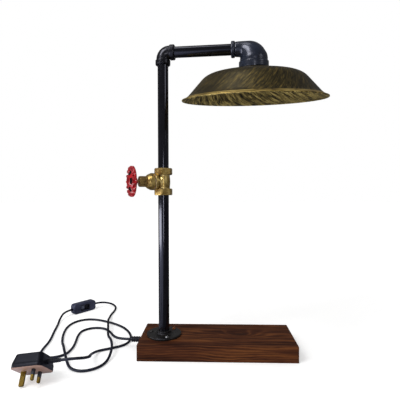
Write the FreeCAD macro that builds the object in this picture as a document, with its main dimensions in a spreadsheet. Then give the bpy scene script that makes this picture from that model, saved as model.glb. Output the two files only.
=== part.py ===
"""Industrial pipe table lamp with a valve handwheel, a swinging pipe arm and a spun shade.

Millimetres, +Z up.  The origin is the centre of the wooden board's underside, +X runs along
the board towards the shade and -Y is the front of the lamp.
"""
import FreeCAD
import Part
import Sketcher
import math
import os

from FreeCAD import Placement, Rotation, Vector

# Driving dimensions.  Each one becomes a cell of the sheet with this alias.
SIZES = {
    # Fits: a piece screwed or pushed home, a piece that turns, and the gap at a turning end.
    "fit_gap": 0.05,
    "running_gap": 0.05,
    "end_gap": 0.3,
    "cut_margin": 1.0,
    # Wooden board, with the place of the pole on it.
    "board_length": 302.0,
    "board_depth": 115.0,
    "board_height": 30.0,
    "board_round": 2.0,
    "pole_inset": 45.0,
    "pole_y": -4.0,
    # Lead: the flexible cord, its holes in the board and its gland.
    "cord_d": 5.0,
    "lead_height": 20.0,
    "lead_hole_d": 8.0,
    "riser_hole_d": 16.0,
    "flex_bend": 12.0,
    "flex_split": 4.0,
    "gland_d": 11.3,
    "gland_waist_d": 9.3,
    "gland_length": 20.5,
    "gland_tail": 9.0,
    "gland_rib": 2.3,
    "gland_ribs": 4.0,
    # Half-inch pipe and how far it screws into each fitting.
    "pipe_d": 21.3,
    "pipe_bore": 15.0,
    "valve_thread": 11.0,
    "elbow_thread": 12.0,
    # Floor flange and its wood screws.
    "flange_d": 69.0,
    "flange_plate": 4.5,
    "flange_round": 1.2,
    "flange_floor": 2.0,
    "hub_foot_d": 38.0,
    "hub_d": 30.0,
    "hub_height": 6.0,
    "hub_foot_height": 2.0,
    "screw_pcd": 54.0,
    "screw_count": 3.0,
    "screw_bearing": 49.0,
    "screw_hole_play": 0.3,
    "screw_pilot_rest": 1.0,
    "screw_shank_d": 4.0,
    "screw_head_d": 7.6,
    "screw_head_rim": 0.9,
    "screw_head_dome": 1.3,
    "screw_dome_d": 5.4,
    "screw_head_height": 2.6,
    "screw_length": 20.0,
    # Gate valve body.
    "valve_z": 337.0,
    "valve_height": 53.6,
    "valve_turn": 206.0,
    "hex_across": 33.0,
    "hex_height": 13.1,
    "barrel_d": 25.2,
    "neck_d": 26.0,
    "neck_ring_d": 35.0,
    "neck_ring_start": 14.0,
    "neck_end": 19.4,
    "neck_bore": 18.0,
    "neck_bore_start": 12.0,
    "stem_room_d": 10.0,
    # Bonnet, gasket, packing and packing nut along the stem.
    "gasket_thickness": 0.6,
    "gasket_d": 30.0,
    "bonnet_across": 30.0,
    "bonnet_length": 15.0,
    "bonnet_slope_d": 38.6,
    "bonnet_tip_d": 24.0,
    "bonnet_nose_d": 14.0,
    "bonnet_nose": 6.0,
    "packing_d": 10.0,
    "packing_length": 9.0,
    "packing_nut_across": 19.0,
    "packing_nut_length": 15.0,
    "nut_slope_d": 29.6,
    "nut_tip_d": 20.2,
    # Stem, handwheel and its nut.
    "stem_d": 5.5,
    "stem_start": 9.0,
    "stem_collar_d": 8.0,
    "stem_tip": 1.0,
    "wheel_start": 54.0,
    "wheel_end": 69.0,
    "wheel_d": 60.0,
    "rim_width": 7.5,
    "rim_thickness": 7.5,
    "rim_round": 2.0,
    "web_thickness": 4.0,
    "wheel_boss_d": 14.0,
    "wheel_hub_d": 21.0,
    "wheel_hub_rise": 2.6,
    "wheel_recess_d": 16.0,
    "wheel_recess": 5.0,
    "notch_count": 15.0,
    "notch_d": 6.4,
    "notch_depth": 4.4,
    "window_count": 5.0,
    "window_length": 15.0,
    "window_short_length": 11.2,
    "window_width": 6.0,
    "window_ring_d": 33.4,
    "wheel_nut_across": 8.0,
    "wheel_nut_height": 3.5,
    # Black elbow on top of the pole and the arm pipe.
    "arm_z": 593.0,
    "arm_swing": -4.4,
    "arm_length": 179.0,
    "elbow_reach": 25.0,
    "elbow_side_reach": 24.0,
    "elbow_bend": 14.0,
    "elbow_body_d": 26.0,
    "elbow_collar_d": 29.5,
    "elbow_collar": 9.3,
    # Reducing elbow that carries the shade.
    "head_turn": 9.4,
    "head_reach": 44.1,
    "head_drop": 36.0,
    "small_collar_d": 31.5,
    "small_collar": 7.7,
    "head_neck_d": 26.5,
    "head_leg_d": 53.6,
    "big_collar_d": 58.0,
    "big_collar": 12.0,
    "back_radius": 37.0,
    "back_rise": 15.2,
    "crotch_x": 28.0,
    "crotch_drop": 18.0,
    "mouth_d": 41.2,
    "mouth_depth": 16.0,
    "passage_d": 32.0,
    "passage_top": 4.0,
    "head_bend": 14.0,
    # Lamp holder inside the elbow's mouth and below it.
    "bush_height": 5.0,
    "nipple_d": 10.0,
    "nipple_bore": 7.0,
    "nipple_rise": 3.5,
    "nipple_drop": 7.5,
    "nipple_nut_across": 14.0,
    "nipple_nut_height": 3.0,
    "cap_wall": 2.0,
    "cap_top": 3.0,
    "cap_bevel": 2.0,
    "skirt_d": 39.2,
    "skirt_wall": 2.0,
    "skirt_length": 42.0,
    "shade_ring_d": 50.0,
    "shade_ring_height": 8.0,
    "insulator_top": 2.0,
    "insulator_height": 12.0,
    "insulator_hole_d": 3.0,
    "contact_room_d": 18.0,
    "shell_bore": 26.4,
    "shell_wall": 0.6,
    "shell_length": 22.0,
    "contact_d": 7.0,
    "contact_tip_d": 3.5,
    "contact_height": 2.5,
    "terminal_d": 4.0,
    "terminal_height": 1.6,
    "terminal_slot": 0.8,
    "terminal_spacing": 20.0,
    # Spun shade, outer profile as radii and heights above the rim plane.
    "shade_hole_d": 40.0,
    "shade_sheet": 1.0,
    "shade_height": 61.0,
    "shade_flat_r": 30.0,
    "dome_r": 86.0,
    "dome_h": 50.0,
    "shoulder_r": 98.5,
    "shoulder_h": 43.5,
    "cone_foot_r": 131.0,
    "cone_foot_h": 8.0,
    "lip_r": 141.5,
    "bead_r": 1.5,
    # Inline rocker switch, standing on its long edge.
    "switch_x": -353.0,
    "switch_y": 224.0,
    "switch_heading": -128.0,
    "switch_length": 64.0,
    "switch_height": 26.0,
    "switch_depth": 18.0,
    "switch_wall": 2.0,
    "switch_corner": 7.0,
    "switch_edge": 1.6,
    "window_x": 23.2,
    "window_z": 11.6,
    "rocker_length": 21.0,
    "rocker_height": 11.0,
    "rocker_back": 2.0,
    "rocker_face": 9.6,
    "rocker_dip": 1.4,
    "rocker_tilt": 7.5,
    "pivot_depth": 4.0,
    "pivot_d": 2.4,
    "pivot_length": 1.4,
    "boss_width": 6.0,
    "boss_height": 2.6,
    "post_x": 24.0,
    "post_d": 6.6,
    "switch_screw_d": 2.4,
    "switch_screw_head_d": 5.2,
    "switch_screw_head": 1.4,
    "switch_screw_length": 11.0,
    "blade_x": 8.0,
    "blade_length": 6.0,
    "blade_width": 4.8,
    "blade_height": 6.5,
    # Three-pin plug, lying tilted on its earth pin.
    "plug_x": -297.6,
    "plug_y": -142.4,
    "plug_pitch": -7.2,
    "plug_roll": -37.7,
    "plug_back": 33.7,
    "plug_front": 18.0,
    "plug_width": 53.0,
    "plug_corner": 8.0,
    "plug_base_height": 8.0,
    "plug_cover_height": 15.0,
    "plug_taper": 12.0,
    "plug_edge": 2.0,
    "earth_x": 22.2,
    "earth_wide": 8.0,
    "earth_thick": 4.0,
    "earth_length": 22.7,
    "line_spacing": 22.2,
    "line_wide": 6.35,
    "line_thick": 4.0,
    "line_length": 17.7,
    "sleeve_length": 9.0,
    "sleeve_wall": 0.45,
    "plug_room_back": 26.0,
    "plug_room_front": 8.0,
    "plug_room_inner": 4.0,
    "plug_room_outer": 18.0,
    "plug_room_height": 10.0,
    "fuse_d": 6.3,
    "fuse_length": 25.4,
    "fuse_cap_length": 6.0,
    "fuse_tube_d": 5.7,
    "plug_screw_d": 3.0,
    "plug_screw_head_d": 6.4,
    "plug_screw_head": 1.8,
    "plug_screw_length": 17.0,
    "plug_screw_inset": 0.4,
    "plug_screw_rest": 0.5,
    "plug_screw_x": 9.0,
    "relief_z": 12.0,
    "relief_d": 7.8,
    "relief_tip_d": 6.4,
    "relief_seat": 4.0,
    "relief_length": 20.0,
    "relief_lead": 22.0,
}

# The free cord from the gland to the switch, without the points that the switch gives.
LAMP_SIDE_ROUTE = [
    (-190, -4, 20), (-207, 7, 18.5), (-219, 29, 14), (-234, 62, 8), (-256, 98, 2.5),
    (-284.5, 102.5, 2.5), (-305.5, 84, 2.5), (-304, 54, 2.5), (-295, 18, 2.5),
    (-290, -12, 2.5), (-292.5, -41, 2.5), (-316.5, -56, 2.5), (-342.5, -45, 2.5),
    (-349, -15, 2.5), (-352, 24, 2.5), (-366, 74, 2.5), (-376, 118, 2.5), (-385, 150, 6),
]

# The free cord from the switch to the plug, without the points that those two give.
PLUG_SIDE_ROUTE = [
    (-297.6, 271.9, 9.5), (-273.9, 257.1, 5), (-268.7, 227.6, 2.5), (-270, 194, 2.5),
    (-264, 158, 6.5), (-257, 122, 13), (-243, 76, 13.5), (-234, 42, 7.5), (-218, 12, 12),
    (-204, -30, 12.5), (-203, -64, 2.5), (-213, -91, 2.5), (-237, -105, 2.5),
    (-262, -95, 2.5), (-276, -74, 5.5), (-289, -52, 12.5), (-306, -18, 12.5),
    (-322, 14, 2.5), (-338, 56, 2.5), (-348, 98, 2.5), (-346, 132, 2.5), (-329, 154, 2.5),
    (-301, 158, 2.5), (-268, 144, 2.5), (-236, 124, 2.5), (-210, 100, 2.5), (-191, 68, 2.5),
    (-182, 36, 2.5), (-188, 8, 2.5), (-212, -8, 2.5), (-240, -17, 2.5), (-249, -46, 7),
    (-230.6, -78.5, 18), (-218.6, -99.3, 28), (-222.4, -121, 35),
]
SWITCH_LEAD_OUT = {"lamp": 22.0, "plug": 18.0}

OPERATIONS = {
    "+": lambda a, b: a + b,
    "-": lambda a, b: a - b,
    "*": lambda a, b: a * b,
    "/": lambda a, b: a / b,
}


class Size:
    """A number that keeps the sheet formula it comes from."""

    def __init__(self, value, text):
        self.value = float(value)
        self.text = text

    def __float__(self):
        return self.value

    def __add__(self, other):
        return combined(self, "+", other)

    def __sub__(self, other):
        return combined(self, "-", other)

    def __mul__(self, other):
        return combined(self, "*", other)

    def __truediv__(self, other):
        return combined(self, "/", other)

    def __neg__(self):
        return combined(0, "-", self)

    __radd__ = __add__
    __rmul__ = __mul__

    def __rsub__(self, other):
        return combined(other, "-", self)


def as_size(number):
    if isinstance(number, Size):
        return number
    return Size(number, "(%s)" % float(number))


def combined(left, sign, right):
    left = as_size(left)
    right = as_size(right)
    value = OPERATIONS[sign](left.value, right.value)
    return Size(value, "(%s %s %s)" % (left.text, sign, right.text))


def bind(thing, **sizes):
    """Set properties and tie each of them to the sheet."""
    for name, number in sizes.items():
        size = as_size(number)
        setattr(thing, name, size.value)
        thing.setExpression(name, size.text)


def bind_base(thing, at, prefix="Placement"):
    for letter, number in zip("xyz", at):
        thing.setExpression("%s.Base.%s" % (prefix, letter), as_size(number).text)


doc = FreeCAD.newDocument("pipe_table_lamp")
sheet = doc.addObject("Spreadsheet::Sheet", "sizes")
for row, (alias, number) in enumerate(SIZES.items(), start=1):
    sheet.set("A%d" % row, alias)
    sheet.set("B%d" % row, "%.9g" % number)
    sheet.setAlias("B%d" % row, alias)
doc.recompute()


class Sheet:
    """The sheet's cells as attributes that are Size values."""

    def __getattr__(self, alias):
        return Size(getattr(sheet, alias), "sizes." + alias)


s = Sheet()

# Levels and places that several pieces share.
pipe_r = s.pipe_d / 2
pipe_bore_r = s.pipe_bore / 2
cord_r = s.cord_d / 2
board_end = s.board_length / 2
pole_x = s.pole_inset - board_end
plate_top = s.board_height + s.flange_plate
hub_top = plate_top + s.hub_height
valve_bottom = s.valve_z - s.valve_height / 2
valve_top = s.valve_z + s.valve_height / 2
pole_top = s.arm_z - s.elbow_reach + s.elbow_thread
bonnet_start = s.neck_end + s.gasket_thickness
bonnet_end = bonnet_start + s.bonnet_length
nose_end = bonnet_end + s.bonnet_nose
stem_r = s.stem_d / 2
stem_hole_r = stem_r + s.running_gap
rim_start = s.wheel_end - s.rim_thickness
web_end = rim_start + s.web_thickness
hub_face = web_end + s.wheel_hub_rise
recess_floor = hub_face - s.wheel_recess
nut_end = recess_floor + s.wheel_nut_height
stem_end = nut_end + s.stem_tip
arm_pipe_start = s.elbow_side_reach - s.elbow_thread
arm_pipe_end = s.arm_length - s.head_reach + s.elbow_thread
mouth_top = s.mouth_depth - s.head_drop
bush_bottom = mouth_top - s.bush_height
shade_top = -s.head_drop
skirt_bottom = shade_top - s.skirt_length
skirt_bore_r = s.skirt_d / 2 - s.skirt_wall
insulator_face = shade_top - s.insulator_top
insulator_foot = insulator_face - s.insulator_height
contact_seat = insulator_foot + s.contact_height + s.end_gap
rim_plane = shade_top - s.shade_height
switch_half = s.switch_depth / 2
switch_floor = switch_half - s.switch_wall
cover_foot = s.plug_base_height
cover_top = cover_foot + s.plug_cover_height
relief_end_x = s.plug_front + s.relief_length

# Frames: where each group of pieces stands.
WORLD = Placement()
POLE = Placement(Vector(float(pole_x), float(s.pole_y), 0), Rotation())
VALVE = Placement(
    Vector(float(pole_x), float(s.pole_y), float(s.valve_z)),
    Rotation(Vector(0, 0, 1), float(s.valve_turn)),
)
STEM = VALVE.multiply(Placement(Vector(), Rotation(Vector(0, 1, 0), 90)))
ARM = Placement(
    Vector(float(pole_x), float(s.pole_y), float(s.arm_z)),
    Rotation(Vector(0, 0, 1), float(s.arm_swing)),
)
HEAD = ARM.multiply(
    Placement(Vector(float(s.arm_length), 0, 0), Rotation(Vector(1, 0, 0), float(s.head_turn)))
)
SWITCH = Placement(
    Vector(float(s.switch_x), float(s.switch_y), float(s.switch_height) / 2),
    Rotation(Vector(0, 0, 1), float(s.switch_heading)),
)
ROCKER = SWITCH.multiply(
    Placement(Vector(0, float(s.pivot_depth), 0), Rotation(Vector(0, 0, 1), -float(s.rocker_tilt)))
)


def plug_frame():
    """The plug's frame, low enough for its lowest corner to lie on the ground."""
    turn = Rotation(Vector(0, 1, 0), float(s.plug_pitch))
    turn = turn.multiply(Rotation(Vector(1, 0, 0), float(s.plug_roll)))
    half_width = float(s.plug_width) / 2
    corners = []
    for side in (-1, 1):
        corners.append(Vector(-float(s.plug_back), side * half_width, 0))
        corners.append(Vector(float(s.plug_front), side * half_width, 0))
        earth_y = side * float(s.earth_thick) / 2
        line_y = side * (float(s.line_spacing) + float(s.line_wide)) / 2
        for end in (-1, 1):
            earth_x = -float(s.earth_x) + end * float(s.earth_wide) / 2
            line_x = end * float(s.line_thick) / 2
            corners.append(Vector(earth_x, earth_y, -float(s.earth_length)))
            corners.append(Vector(line_x, line_y, -float(s.line_length)))
    lowest = min(turn.multVec(corner).z for corner in corners)
    return Placement(Vector(float(s.plug_x), float(s.plug_y), -lowest), turn)


PLUG = plug_frame()

nodes = {}


def node(label, thing, frame=WORLD):
    """Keep a finished sub-part under its own label, standing in its frame."""
    thing.Label = label
    thing.Placement = frame
    nodes[label] = thing
    return thing


# ---- sketches and features -------------------------------------------------------------


def draw_corners(sketch, corners):
    """A closed outline of straight sides, each corner held by its distances to the axes."""
    first = sketch.GeometryCount
    count = len(corners)
    points = [Vector(float(x), float(y), 0) for x, y in corners]
    for i, point in enumerate(points):
        sketch.addGeometry(Part.LineSegment(point, points[(i + 1) % count]), False)
    for i in range(count):
        joint = Sketcher.Constraint("Coincident", first + i, 2, first + (i + 1) % count, 1)
        sketch.addConstraint(joint)
    for i, corner in enumerate(corners):
        for kind, number in zip(("DistanceX", "DistanceY"), corner):
            hold_point(sketch, kind, first + i, 1, as_size(number))


def draw_circle(sketch, x, y, radius):
    first = sketch.GeometryCount
    centre = Vector(float(x), float(y), 0)
    sketch.addGeometry(Part.Circle(centre, Vector(0, 0, 1), float(radius)), False)
    hold_point(sketch, "DistanceX", first, 3, as_size(x))
    hold_point(sketch, "DistanceY", first, 3, as_size(y))
    index = sketch.addConstraint(Sketcher.Constraint("Radius", first, float(radius)))
    sketch.setExpression("Constraints[%d]" % index, as_size(radius).text)


def hold_point(sketch, kind, geometry, end, size):
    """Tie one coordinate of a point to the sheet, measured from the sketch's origin."""
    if size.value == 0:
        axis = -2 if kind == "DistanceX" else -1
        sketch.addConstraint(Sketcher.Constraint("PointOnObject", geometry, end, axis))
        return
    index = sketch.addConstraint(Sketcher.Constraint(kind, -1, 1, geometry, end, size.value))
    sketch.setExpression("Constraints[%d]" % index, size.text)


def new_sketch(body, plane="XY_Plane", height=0):
    sketch = body.newObject("Sketcher::SketchObject", body.Name + "_sketch")
    origin_plane = [face for face in body.Origin.OriginFeatures if face.Role == plane][0]
    sketch.AttachmentSupport = [(origin_plane, "")]
    sketch.MapMode = "FlatFace"
    level = as_size(height)
    if level.value:
        sketch.AttachmentOffset = Placement(Vector(0, 0, level.value), Rotation())
        sketch.setExpression("AttachmentOffset.Base.z", level.text)
    return sketch


def feature(body, kind, sketch, **sizes):
    """Add a PartDesign feature made from a sketch and make it the body's tip."""
    made = body.newObject("PartDesign::" + kind, body.Name + "_" + kind.lower())
    made.Profile = sketch
    bind(made, **sizes)
    body.Tip = made
    return made


def new_body(name):
    return doc.addObject("PartDesign::Body", name)


def turned(name, corners):
    """A body of revolution about its Z axis, from corners given as (radius, height)."""
    body = new_body(name)
    sketch = new_sketch(body, "XZ_Plane")
    draw_corners(sketch, corners)
    made = feature(body, "Revolution", sketch)
    made.ReferenceAxis = (sketch, ["V_Axis"])
    made.Angle = 360
    return body


def ring(name, inner, outer, bottom, top):
    return turned(name, [(inner, bottom), (outer, bottom), (outer, top), (inner, top)])


def rectangle(x0, x1, y0, y1):
    return [(x0, y0), (x1, y0), (x1, y1), (x0, y1)]


def padded(name, corners, bottom, height, taper=0):
    body = new_body(name)
    sketch = new_sketch(body, "XY_Plane", bottom)
    draw_corners(sketch, corners)
    made = feature(body, "Pad", sketch, Length=height)
    if as_size(taper).value:
        bind(made, TaperAngle=-as_size(taper))
    return body


def pocket(body, height, depth, corners=None, circles=()):
    """Cut downwards from a level, by an outline or by circles given as (x, y, radius)."""
    doc.recompute()
    sketch = new_sketch(body, "XY_Plane", height)
    if corners:
        draw_corners(sketch, corners)
    for x, y, radius in circles:
        draw_circle(sketch, x, y, radius)
    return feature(body, "Pocket", sketch, Length=depth)


def around(body, made, count):
    """Repeat a feature evenly about the body's Z axis."""
    pattern = body.newObject("PartDesign::PolarPattern", body.Name + "_pattern")
    pattern.Originals = [made]
    z_axis = [line for line in body.Origin.OriginFeatures if line.Role == "Z_Axis"][0]
    pattern.Axis = (z_axis, [""])
    pattern.Angle = 360
    pattern.Occurrences = int(round(float(count)))
    body.Tip = pattern
    return pattern


def edges_where(shape, wanted):
    return ["Edge%d" % (i + 1) for i, edge in enumerate(shape.Edges) if wanted(edge)]


def rounded(body, radius, wanted):
    """Round the edges of the body's tip that the test picks."""
    doc.recompute()
    tip = body.Tip
    names = edges_where(tip.Shape, wanted)
    made = body.newObject("PartDesign::Fillet", body.Name + "_fillet")
    made.Base = (tip, names)
    bind(made, Radius=radius)
    body.Tip = made
    return made


def is_upright(edge):
    return abs(edge.tangentAt(edge.FirstParameter).z) > 0.99


def lies_at(height):
    level = float(height)
    return lambda edge: all(abs(vertex.Z - level) < 1e-4 for vertex in edge.Vertexes)


def is_circle(radius, height):
    def test(edge):
        curve = edge.Curve
        if not isinstance(curve, Part.Circle):
            return False
        return abs(curve.Radius - float(radius)) < 1e-4 and abs(curve.Center.z - float(height)) < 1e-4

    return test


# ---- primitives and booleans -----------------------------------------------------------

TOWARDS = {
    "X": Rotation(Vector(0, 1, 0), 90),
    "Y": Rotation(Vector(1, 0, 0), -90),
    "Z": Rotation(),
}


def along(direction, start, across):
    """The base point of a primitive that starts at a distance along an axis."""
    first, second = across
    return {"X": (start, first, second), "Y": (first, start, second), "Z": (first, second, start)}[direction]


def rod(name, radius, start, end, direction="Z", across=(0, 0)):
    thing = doc.addObject("Part::Cylinder", name)
    bind(thing, Radius=radius, Height=as_size(end) - start)
    thing.Placement = Placement(Vector(), TOWARDS[direction])
    bind_base(thing, along(direction, start, across))
    return thing


def cone(name, start_radius, end_radius, start, end, direction="Z", across=(0, 0)):
    thing = doc.addObject("Part::Cone", name)
    bind(thing, Radius1=start_radius, Radius2=end_radius, Height=as_size(end) - start)
    thing.Placement = Placement(Vector(), TOWARDS[direction])
    bind_base(thing, along(direction, start, across))
    return thing


def hexagon(name, across_flats, start, end):
    """A hexagonal bar along Z with one corner towards +X."""
    thing = doc.addObject("Part::Prism", name)
    thing.Polygon = 6
    bind(thing, Circumradius=as_size(across_flats) / math.sqrt(3), Height=as_size(end) - start)
    bind_base(thing, (0, 0, start))
    return thing


def box(name, x0, x1, y0, y1, z0, z1):
    thing = doc.addObject("Part::Box", name)
    bind(thing, Length=as_size(x1) - x0, Width=as_size(y1) - y0, Height=as_size(z1) - z0)
    bind_base(thing, (x0, y0, z0))
    return thing


def fused(name, things):
    made = doc.addObject("Part::MultiFuse", name)
    made.Shapes = things
    made.Refine = True
    return made


def cut(name, base, tools):
    made = doc.addObject("Part::Cut", name)
    made.Base = base
    made.Tool = tools[0] if len(tools) == 1 else fused(name + "_tools", tools)
    made.Refine = True
    return made


def common(name, base, tool):
    made = doc.addObject("Part::Common", name)
    made.Base = base
    made.Tool = tool
    return made


def quarter_bend(name, bend, radius):
    """A quarter ring that comes up along Z at x = 0 and leaves along +X at z = 0."""
    thing = doc.addObject("Part::Torus", name)
    bind(thing, Radius1=bend, Radius2=radius, Angle3=90)
    thing.Placement = Placement(
        Vector(), Rotation(Vector(-1, 0, 0), Vector(0, 0, 1), Vector(0, 1, 0), "XYZ")
    )
    bind_base(thing, (bend, 0, -as_size(bend)))
    return thing


def quarter_turn_down(name, bend, radius):
    """A quarter ring that arrives along +X at z = 0 and leaves along -Z at x = 0."""
    thing = doc.addObject("Part::Torus", name)
    bind(thing, Radius1=bend, Radius2=radius, Angle3=90)
    thing.Placement = Placement(
        Vector(), Rotation(Vector(1, 0, 0), Vector(0, 0, 1), Vector(0, -1, 0), "XYZ")
    )
    bind_base(thing, (-as_size(bend), 0, -as_size(bend)))
    return thing


# ---- paths of straight runs and tangent arcs --------------------------------------------

ARC_SHARE = 0.45


def corner_arc(before, corner, after):
    """The arc that rounds a corner with 0.45 of its shorter run, and its radius."""
    back = before - corner
    ahead = after - corner
    reach = ARC_SHARE * min(back.Length, ahead.Length)
    back.normalize()
    ahead.normalize()
    half_turn = (math.pi - back.getAngle(ahead)) / 2
    radius = reach / math.tan(half_turn)
    bisector = back + ahead
    bisector.normalize()
    centre_distance = radius / math.cos(half_turn)
    middle = corner + bisector * (centre_distance - radius)
    return Part.Arc(corner + back * reach, middle, corner + ahead * reach), radius


def smooth_path(points):
    """One wire of straight runs joined by tangent arcs, and the arcs' radii."""
    points = [Vector(*point) for point in points]
    edges = []
    radii = []
    here = points[0]
    for before, corner, after in zip(points, points[1:], points[2:]):
        arc, radius = corner_arc(before, corner, after)
        edges.append(Part.LineSegment(here, arc.StartPoint).toShape())
        edges.append(arc.toShape())
        here = arc.EndPoint
        radii.append(radius)
    edges.append(Part.LineSegment(here, points[-1]).toShape())
    return Part.Wire(edges), radii


def tube_on(wire, radius, start, direction):
    profile = Part.Wire([Part.makeCircle(radius, start, direction)])
    return wire.makePipeShell([profile], True, False)


def free_cord(name, points):
    """The round cord along a route, with its shortest bend and its volume checked."""
    wire, radii = smooth_path(points)
    first = Vector(*points[0])
    solid = tube_on(wire, float(cord_r), first, Vector(*points[1]) - first)
    expected = math.pi * float(cord_r) ** 2 * wire.Length
    print("%s: %.0f mm, bends %s" % (name, wire.Length, " ".join("%.0f" % r for r in radii)))
    print("  volume %.1f of %.1f" % (solid.Volume, expected))
    if abs(solid.Volume - expected) > 0.01 * expected:
        raise RuntimeError(name + ": the tube's volume doesn't match its length")
    thing = doc.addObject("Part::Feature", name)
    thing.Shape = solid
    return thing


# ---- wooden board, flange and pole -------------------------------------------------------


def screw_places():
    """Centres of the flange screws, measured from the pole."""
    count = int(round(float(s.screw_count)))
    bearings = [math.radians(float(s.screw_bearing) + 360 / count * i) for i in range(count)]
    radius = s.screw_pcd / 2
    return [(radius * math.cos(bearing), radius * math.sin(bearing)) for bearing in bearings]


def base_board():
    half_depth = s.board_depth / 2
    body = padded("base_board", rectangle(-board_end, board_end, -half_depth, half_depth), 0,
                  s.board_height)
    rounded(body, s.board_round, is_upright)
    rounded(body, s.board_round / 2, lies_at(s.board_height))
    riser_floor = s.lead_height - s.lead_hole_d / 2
    pocket(body, s.board_height, s.board_height - riser_floor,
           circles=[(pole_x, s.pole_y, s.riser_hole_d / 2)])
    pilot_r = s.screw_shank_d / 2 + s.fit_gap
    pilots = [(pole_x + x, s.pole_y + y, pilot_r) for x, y in screw_places()]
    pilot_depth = s.screw_length - s.flange_plate + s.screw_pilot_rest
    pocket(body, s.board_height, pilot_depth, circles=pilots)
    lead = rod("lead_hole", s.lead_hole_d / 2, -board_end - s.cut_margin, pole_x, "X",
               (s.pole_y, s.lead_height))
    node("base_board", cut("drilled_board", body, [lead]))


def floor_flange():
    seat = s.board_height + s.flange_floor
    thread_r = pipe_r + s.fit_gap
    foot_top = plate_top + s.hub_foot_height
    body = turned("floor_flange", [
        (pipe_bore_r, s.board_height), (s.flange_d / 2, s.board_height),
        (s.flange_d / 2, plate_top), (s.hub_foot_d / 2, plate_top), (s.hub_d / 2, foot_top),
        (s.hub_d / 2, hub_top), (thread_r, hub_top), (thread_r, seat), (pipe_bore_r, seat),
    ])
    rounded(body, s.flange_round, is_circle(s.flange_d / 2, plate_top))
    x, y = screw_places()[0]
    hole_r = s.screw_shank_d / 2 + s.screw_hole_play
    hole = pocket(body, plate_top, s.flange_plate, circles=[(x, y, hole_r)])
    around(body, hole, s.screw_count)
    node("floor_flange", body, POLE)


def flange_screws():
    tip = plate_top - s.screw_length
    point = tip + s.screw_shank_d
    head_top = plate_top + s.screw_head_height
    shank_r = s.screw_shank_d / 2
    head_r = s.screw_head_d / 2
    for i, (x, y) in enumerate(screw_places(), start=1):
        body = turned("flange_screw_%d" % i, [
            (0, tip), (shank_r, point), (shank_r, plate_top), (head_r, plate_top),
            (head_r, plate_top + s.screw_head_rim),
            (s.screw_dome_d / 2, plate_top + s.screw_head_rim + s.screw_head_dome), (0, head_top),
        ])
        place = Placement(Vector(float(x), float(y), 0), Rotation())
        node("flange_screw_%d" % i, body, POLE.multiply(place))


def pole_pipes():
    seat = s.board_height + s.flange_floor
    lower = ring("lower_pipe", pipe_bore_r, pipe_r, seat, valve_bottom + s.valve_thread)
    node("lower_pipe", lower, POLE)
    upper = ring("upper_pipe", pipe_bore_r, pipe_r, valve_top - s.valve_thread, pole_top)
    node("upper_pipe", upper, POLE)


# ---- gate valve --------------------------------------------------------------------------


def valve_body():
    half = s.valve_height / 2
    hex_inner = half - s.hex_height
    thread_r = pipe_r + s.fit_gap
    outside = fused("valve_casting", [
        hexagon("valve_hex_low", s.hex_across, -half, -hex_inner),
        hexagon("valve_hex_high", s.hex_across, hex_inner, half),
        rod("valve_barrel", s.barrel_d / 2, -hex_inner, hex_inner),
        rod("valve_neck", s.neck_d / 2, 0, s.neck_ring_start, "X"),
        rod("valve_neck_ring", s.neck_ring_d / 2, s.neck_ring_start, s.neck_end, "X"),
    ])
    inside = [
        rod("valve_way", pipe_bore_r, -half, half),
        rod("valve_thread_low", thread_r, -half, s.valve_thread - half),
        rod("valve_thread_high", thread_r, half - s.valve_thread, half),
        rod("valve_stem_room", s.stem_room_d / 2, 0, s.neck_end, "X"),
        rod("valve_bonnet_thread", s.neck_bore / 2, s.neck_bore_start, s.neck_end, "X"),
    ]
    node("valve_body", cut("valve_bored", outside, inside), VALVE)


def valve_bonnet():
    tail_r = s.neck_bore / 2 - s.fit_gap
    tail_start = s.neck_bore_start + s.end_gap
    packing_start = nose_end - s.packing_length
    hexed = common(
        "bonnet_hexed",
        hexagon("bonnet_hex", s.bonnet_across, bonnet_start, bonnet_end),
        cone("bonnet_slope", s.bonnet_slope_d / 2, s.bonnet_tip_d / 2, bonnet_start, bonnet_end),
    )
    outside = fused("bonnet_outside", [
        hexed,
        rod("bonnet_tail", tail_r, tail_start, bonnet_start),
        rod("bonnet_nose", s.bonnet_nose_d / 2, bonnet_end, nose_end),
    ])
    inside = [
        rod("bonnet_stem_hole", stem_hole_r, tail_start, nose_end),
        rod("bonnet_packing_room", s.packing_d / 2, packing_start, nose_end),
    ]
    node("valve_bonnet", cut("bonnet_bored", outside, inside), STEM)

    gasket = ring("bonnet_gasket", tail_r + s.fit_gap, s.gasket_d / 2, s.neck_end, bonnet_start)
    node("bonnet_gasket", gasket, STEM)
    packing = ring("stem_packing", stem_hole_r, s.packing_d / 2 - s.fit_gap, packing_start, nose_end)
    node("stem_packing", packing, STEM)

    nut_stop = bonnet_end + s.packing_nut_length
    nut_bar = common(
        "packing_nut_hexed",
        hexagon("packing_nut_hex", s.packing_nut_across, bonnet_end, nut_stop),
        cone("packing_nut_slope", s.nut_slope_d / 2, s.nut_tip_d / 2, bonnet_end, nut_stop),
    )
    nut_room = [
        rod("packing_nut_hole", stem_hole_r, bonnet_end, nut_stop),
        rod("packing_nut_thread", s.bonnet_nose_d / 2 + s.fit_gap, bonnet_end, nose_end),
    ]
    node("packing_nut", cut("packing_nut_bored", nut_bar, nut_room), STEM)


def valve_stem():
    collar_end = s.neck_bore_start
    body = turned("valve_stem", [
        (0, s.stem_start), (s.stem_collar_d / 2, s.stem_start),
        (s.stem_collar_d / 2, collar_end), (stem_r, collar_end), (stem_r, stem_end),
        (0, stem_end),
    ])
    node("valve_stem", body, STEM)


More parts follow.
